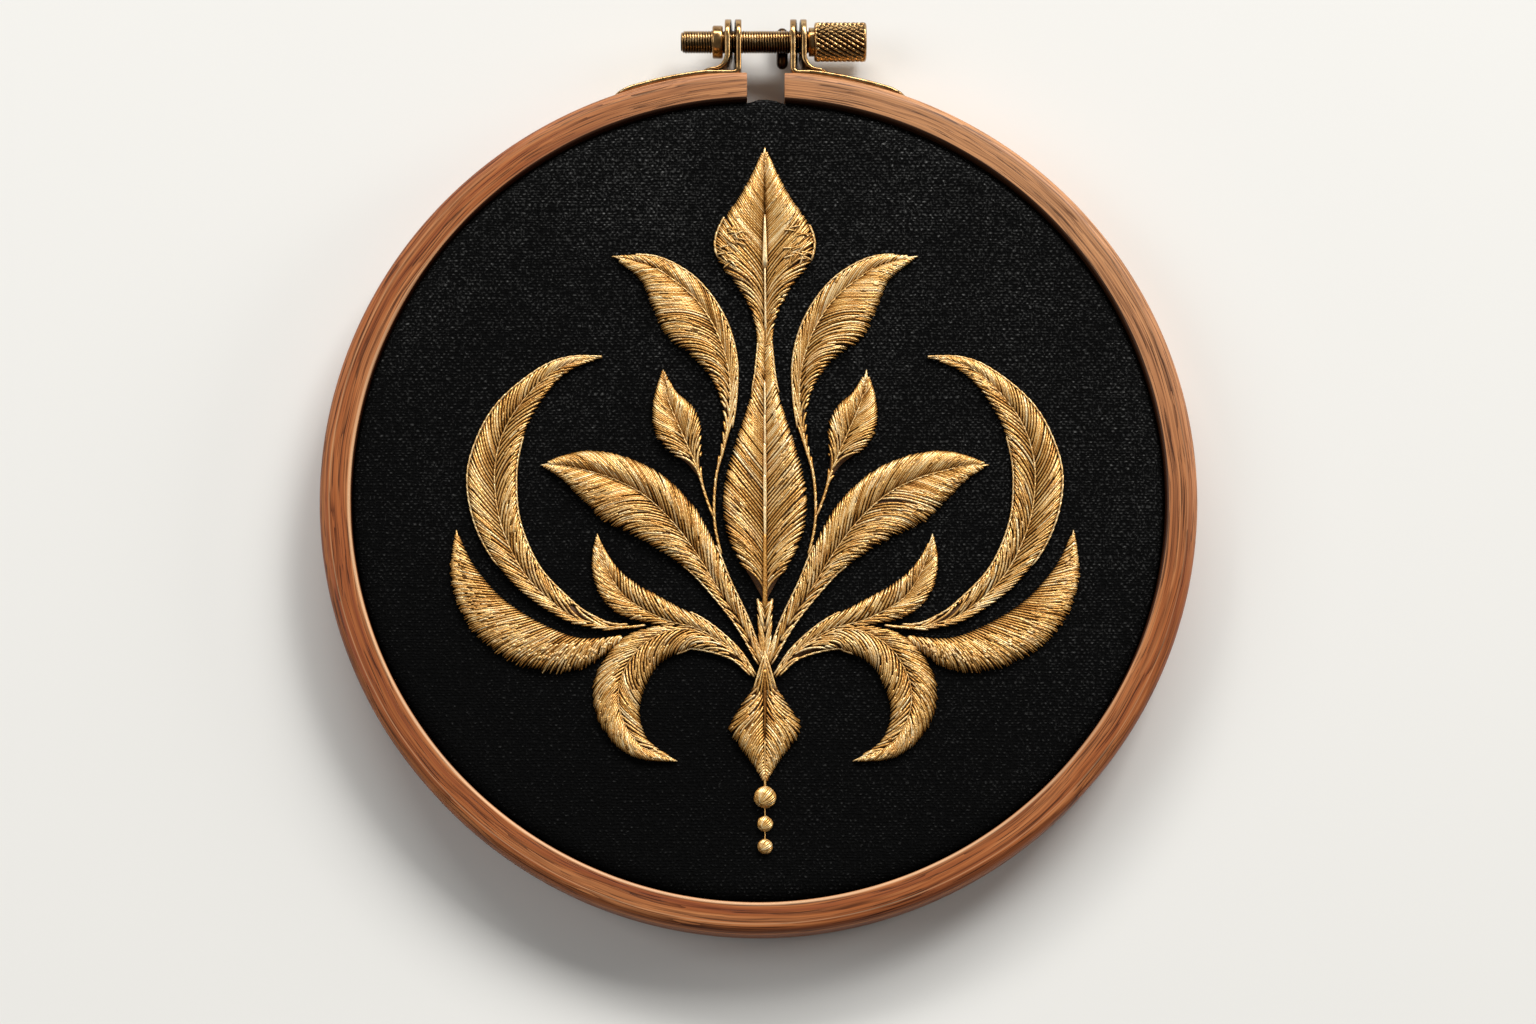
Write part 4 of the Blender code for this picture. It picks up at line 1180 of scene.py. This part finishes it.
# Loose threads over the middle motifs. Columns: x and y of the start, x and y of the end, height over the
# cloth at each end, radius at each end, tint, hump, points. Each motif's second list is laid on both sides.
LOOSE = {
    "finial": (
        [(0.0, 53.6, 0.0, 43.4, 1.35, 1.45, 0.16, 0.62, 0.95, 0.10, 12),
         (0.0, 43.6, 0.15, 30.5, 1.45, 0.95, 0.20, 0.25, 0.92, 0.12, 12)]
        + [(x * 0.9, low, x * 1.25, high, 0.62, 0.75, 0.14, 0.17, 0.6, 0.2, 12)
           for x, low, high in ((-1.0, 25.4, 31.2), (-0.55, 27.0, 33.5), (-0.2, 24.8, 31.6),
                                (0.25, 26.4, 33.0), (0.6, 25.2, 32.0), (1.0, 26.2, 31.0))]
        + [(*ends, 1.1, 1.8, 0.20, 0.13, 0.72, 0.35, 10)
           for ends in ((9.1, 45.9, 3.7, 46.7), (5.5, 46.0, 8.9, 44.6), (-9.1, 45.8, -5.2, 46.1),
                        (-7.6, 46.5, -4.3, 44.1), (6.8, 49.6, 3.9, 47.0))],
        []),
    "spindle": (
        [(0.0, -22.3, 0.0, -7.0, 0.7, 1.0, 0.55, 0.40, 0.45, 0.35, 14)]
        + [(0.05, start, -0.05, end, 1.1, 1.05, first, last, 0.92, 0.12, 10)
           for start, end, first, last in ((-9.5, -2.0, 0.24, 0.40), (-3.5, 4.0, 0.40, 0.38),
                                           (2.5, 10.0, 0.38, 0.30), (8.5, 15.5, 0.30, 0.26),
                                           (14.0, 21.5, 0.26, 0.18))],
        []),
    "diamond": (
        [(0.0, -34.0, 0.0, -46.0, 1.0, 1.35, 0.58, 0.14, 0.20, 0.10, 12),
         (0.0, -46.5, 0.0, -56.2, 1.3, 0.25, 0.12, 0.26, 0.66, 0.12, 12),
         (0.0, -29.8, 0.0, -33.6, 1.3, 1.45, 0.16, 0.30, 0.78, 0.20, 10)],
        [(0.15, -30.6, 2.1, -37.4, 1.45, 1.15, 0.20, 0.22, 0.74, 0.25, 12),
         (0.10, -32.0, 1.5, -38.2, 1.40, 1.20, 0.20, 0.20, 0.60, 0.20, 12),
         (0.05, -33.2, 0.9, -38.8, 1.40, 1.25, 0.18, 0.18, 0.45, 0.15, 12)]),
    "centre_stem": (
        [],
        [(0.35, -25.5, 1.35, -20.2, 1.0, 0.7, 0.36, 0.26, 0.8, 0.2, 10)]),
}


def straight(work, start, end, rise, radius, tint, hump, count=10, sink=0.5):
    """A loose thread between two plan points, with a height over the cloth and a radius at each end."""
    t = np.linspace(0.0, 1.0, count)
    x = MOTIF_X + start[0] + (end[0] - start[0]) * t
    y = start[1] + (end[1] - start[1]) * t
    low, high = CLOTH_TOP + rise[0], CLOTH_TOP + rise[1]
    z = low + (high - low) * t + hump * np.sin(np.pi * t)
    z[[0, -1]] -= sink
    work.tube(np.stack([x, y, z], -1), np.linspace(radius[0], radius[1], count), tint=tint)


def lay_loose(work, name):
    """The rib, tail and ties of a middle motif, from its table."""
    for rows, sides in zip(LOOSE[name], ((1,), (-1, 1))):
        for side in sides:
            for x0, y0, x1, y1, low, high, first, last, *looks in rows:
                straight(work, (side * x0, y0), (side * x1, y1), (low, high), (first, last), *looks)


def scatter_over_finial(stitcher):
    """Short stitches laid at varied angles over the finial's two lobes."""
    rng = stitcher.rng
    half_length = 1.1
    for side in (-1, 1):
        for _ in range(18):
            reach, y = rng.uniform(4.4, 7.8), rng.uniform(43.2, 51.0)
            width = float(stitcher.spine.width(y - MIDDLE_ROWS["finial"][0][0], 1))
            if reach > width - 0.7:
                continue
            heading = math.radians(rng.uniform(-35, 75))
            dx, dy = half_length * math.cos(heading), half_length * math.sin(heading)
            rise = 0.35 + float(lobe_height(reach / width, width))
            straight(stitcher.work, (side * (reach - dx), y - dy), (side * (reach + dx), y + dy),
                     (rise, rise), (0.19, 0.14), float(rng.uniform(0.50, 0.86)), 0.10)


def stitch_motif(name, node, spine, seed, materials):
    """One motif: padding, threads, cords along its rib and edges, and what is laid over them."""
    style = STYLES[name]
    stitcher = Stitcher(spine, style, seed, dome=name == "plume")
    stitcher.pad()
    stitcher.fill()
    stitcher.roughen()
    stitcher.tip()
    for row_from, row_to, across, r_from, r_to in style["cords"]:
        stitcher.cord(spine.row(row_from), spine.row(row_to), across, r_from, r_to)
    if name in LOOSE:
        lay_loose(stitcher.work, name)
    if name == "finial":
        scatter_over_finial(stitcher)
    stitcher.work.make("threads_" + node, materials, "gold_thread", replaces=[node])


# Balls of thread down the middle line. Columns: y, radius, and where the thread on to the next one ends.
DOTS = {"dot_large": (-57.2, 2.0, -61.4), "dot_middle": (-62.1, 1.35, -65.5), "dot_small": (-66.3, 1.3, None)}


def make_dot(y, radius, seed):
    """A small ball of thread: windings from pole to pole over a core, about a pole that leans."""
    rng = np.random.default_rng(seed)
    work = Work()
    sides, sunk, thread_r = 20, 0.3, 0.23
    centre = np.array([MOTIF_X, y, CLOTH_TOP + 0.15])
    turn = math.tau * np.arange(sides) / sides
    rings = []
    for level in np.radians([-8, 8, 28, 48, 66, 82]):
        reach, height = radius * 0.88 * math.cos(level), radius * 0.78 * math.sin(level)
        rings.append(np.stack([centre[0] + reach * np.cos(turn), y + reach * np.sin(turn),
                               np.full(sides, centre[2] + height)], -1))
    work.add_grid(np.stack(rings), slot=1)
    heading, rise = math.radians(rng.uniform(205, 235)), math.radians(38)
    pole = np.array([math.cos(heading) * math.cos(rise), math.sin(heading) * math.cos(rise), math.sin(rise)])
    aside = np.array([-math.sin(heading), math.cos(heading), 0.0])
    third = np.cross(pole, aside)
    bend = np.radians(np.linspace(3, 168, 21))[:, None]
    count = int(math.tau * radius / 0.40)
    for k in range(count):
        swing = math.tau * (k + rng.uniform(-0.2, 0.2)) / count
        course = np.cos(bend) * pole + np.sin(bend) * (math.cos(swing) * aside + math.sin(swing) * third)
        course = course * radius * (0.92 + rng.uniform(-0.03, 0.03)) * np.array([1.0, 1.0, 0.86])
        course = course[course[:, 2] > -sunk]
        if len(course) > 4:
            work.tube(course + centre, thread_r, tint=float(rng.uniform(0.48, 0.90)))
    return work


def make_embroidery():
    materials = [thread_material(), padding_material()]
    seed = 100
    for name, rows in SIDE_ROWS.items():
        for suffix, mirror in (("_left", False), ("_right", True)):
            seed += 1
            stitch_motif(name, name + suffix, Spine(rows, mirror), seed, materials)
    for name, rows in MIDDLE_ROWS.items():
        seed += 1
        stitch_motif(name, name, Spine([(0.0, y, half, half) for y, half in rows]), seed, materials)
    for name, (y, radius, link_end) in DOTS.items():
        seed += 1
        work = make_dot(y, radius, seed)
        if link_end is not None:
            straight(work, (0.0, y - radius * 0.7), (0.0, link_end), (0.1, 0.1), (0.13, 0.13),
                     tint=0.6, hump=0.0, count=6, sink=0.0)
        work.make("threads_" + name, materials, "gold_thread", replaces=[name])


# ---------------------------------------------------------------- the whole

make_camera()
make_light()
make_floor()

outer_wood = wood_material("cherry", dark="86462A", middle="A65F32", light="C58250", streak="3E1807",
                           pore_and_shade="2A0F04", edge_highlight_tint="F2C79A", painted_light_tint="D8A474")
inner_wood = wood_material("plain_beech", dark="8E6238", middle="AD8152", light="C49C6C", streak="7C5230",
                           pore_and_shade="553519", edge_highlight_tint="CFAA7C", painted_light_tint="C49C6C")
brass = brass_material("aged_brass", "866440", "AE8756", "DDBD8A")

make_outer_ring(outer_wood)
soften_cad("inner_ring", inner_wood, 0.3, 2)
make_cloth(linen_material())
make_screw(brass)
make_strips(brass)
soften_cad("screw_nut", brass, 0.35, 4)
soften_cad("stop_pin", brass_material("dark_brass", "1E130B", "3A2716", "6B4C2C"), 0.5, 5)
make_embroidery()
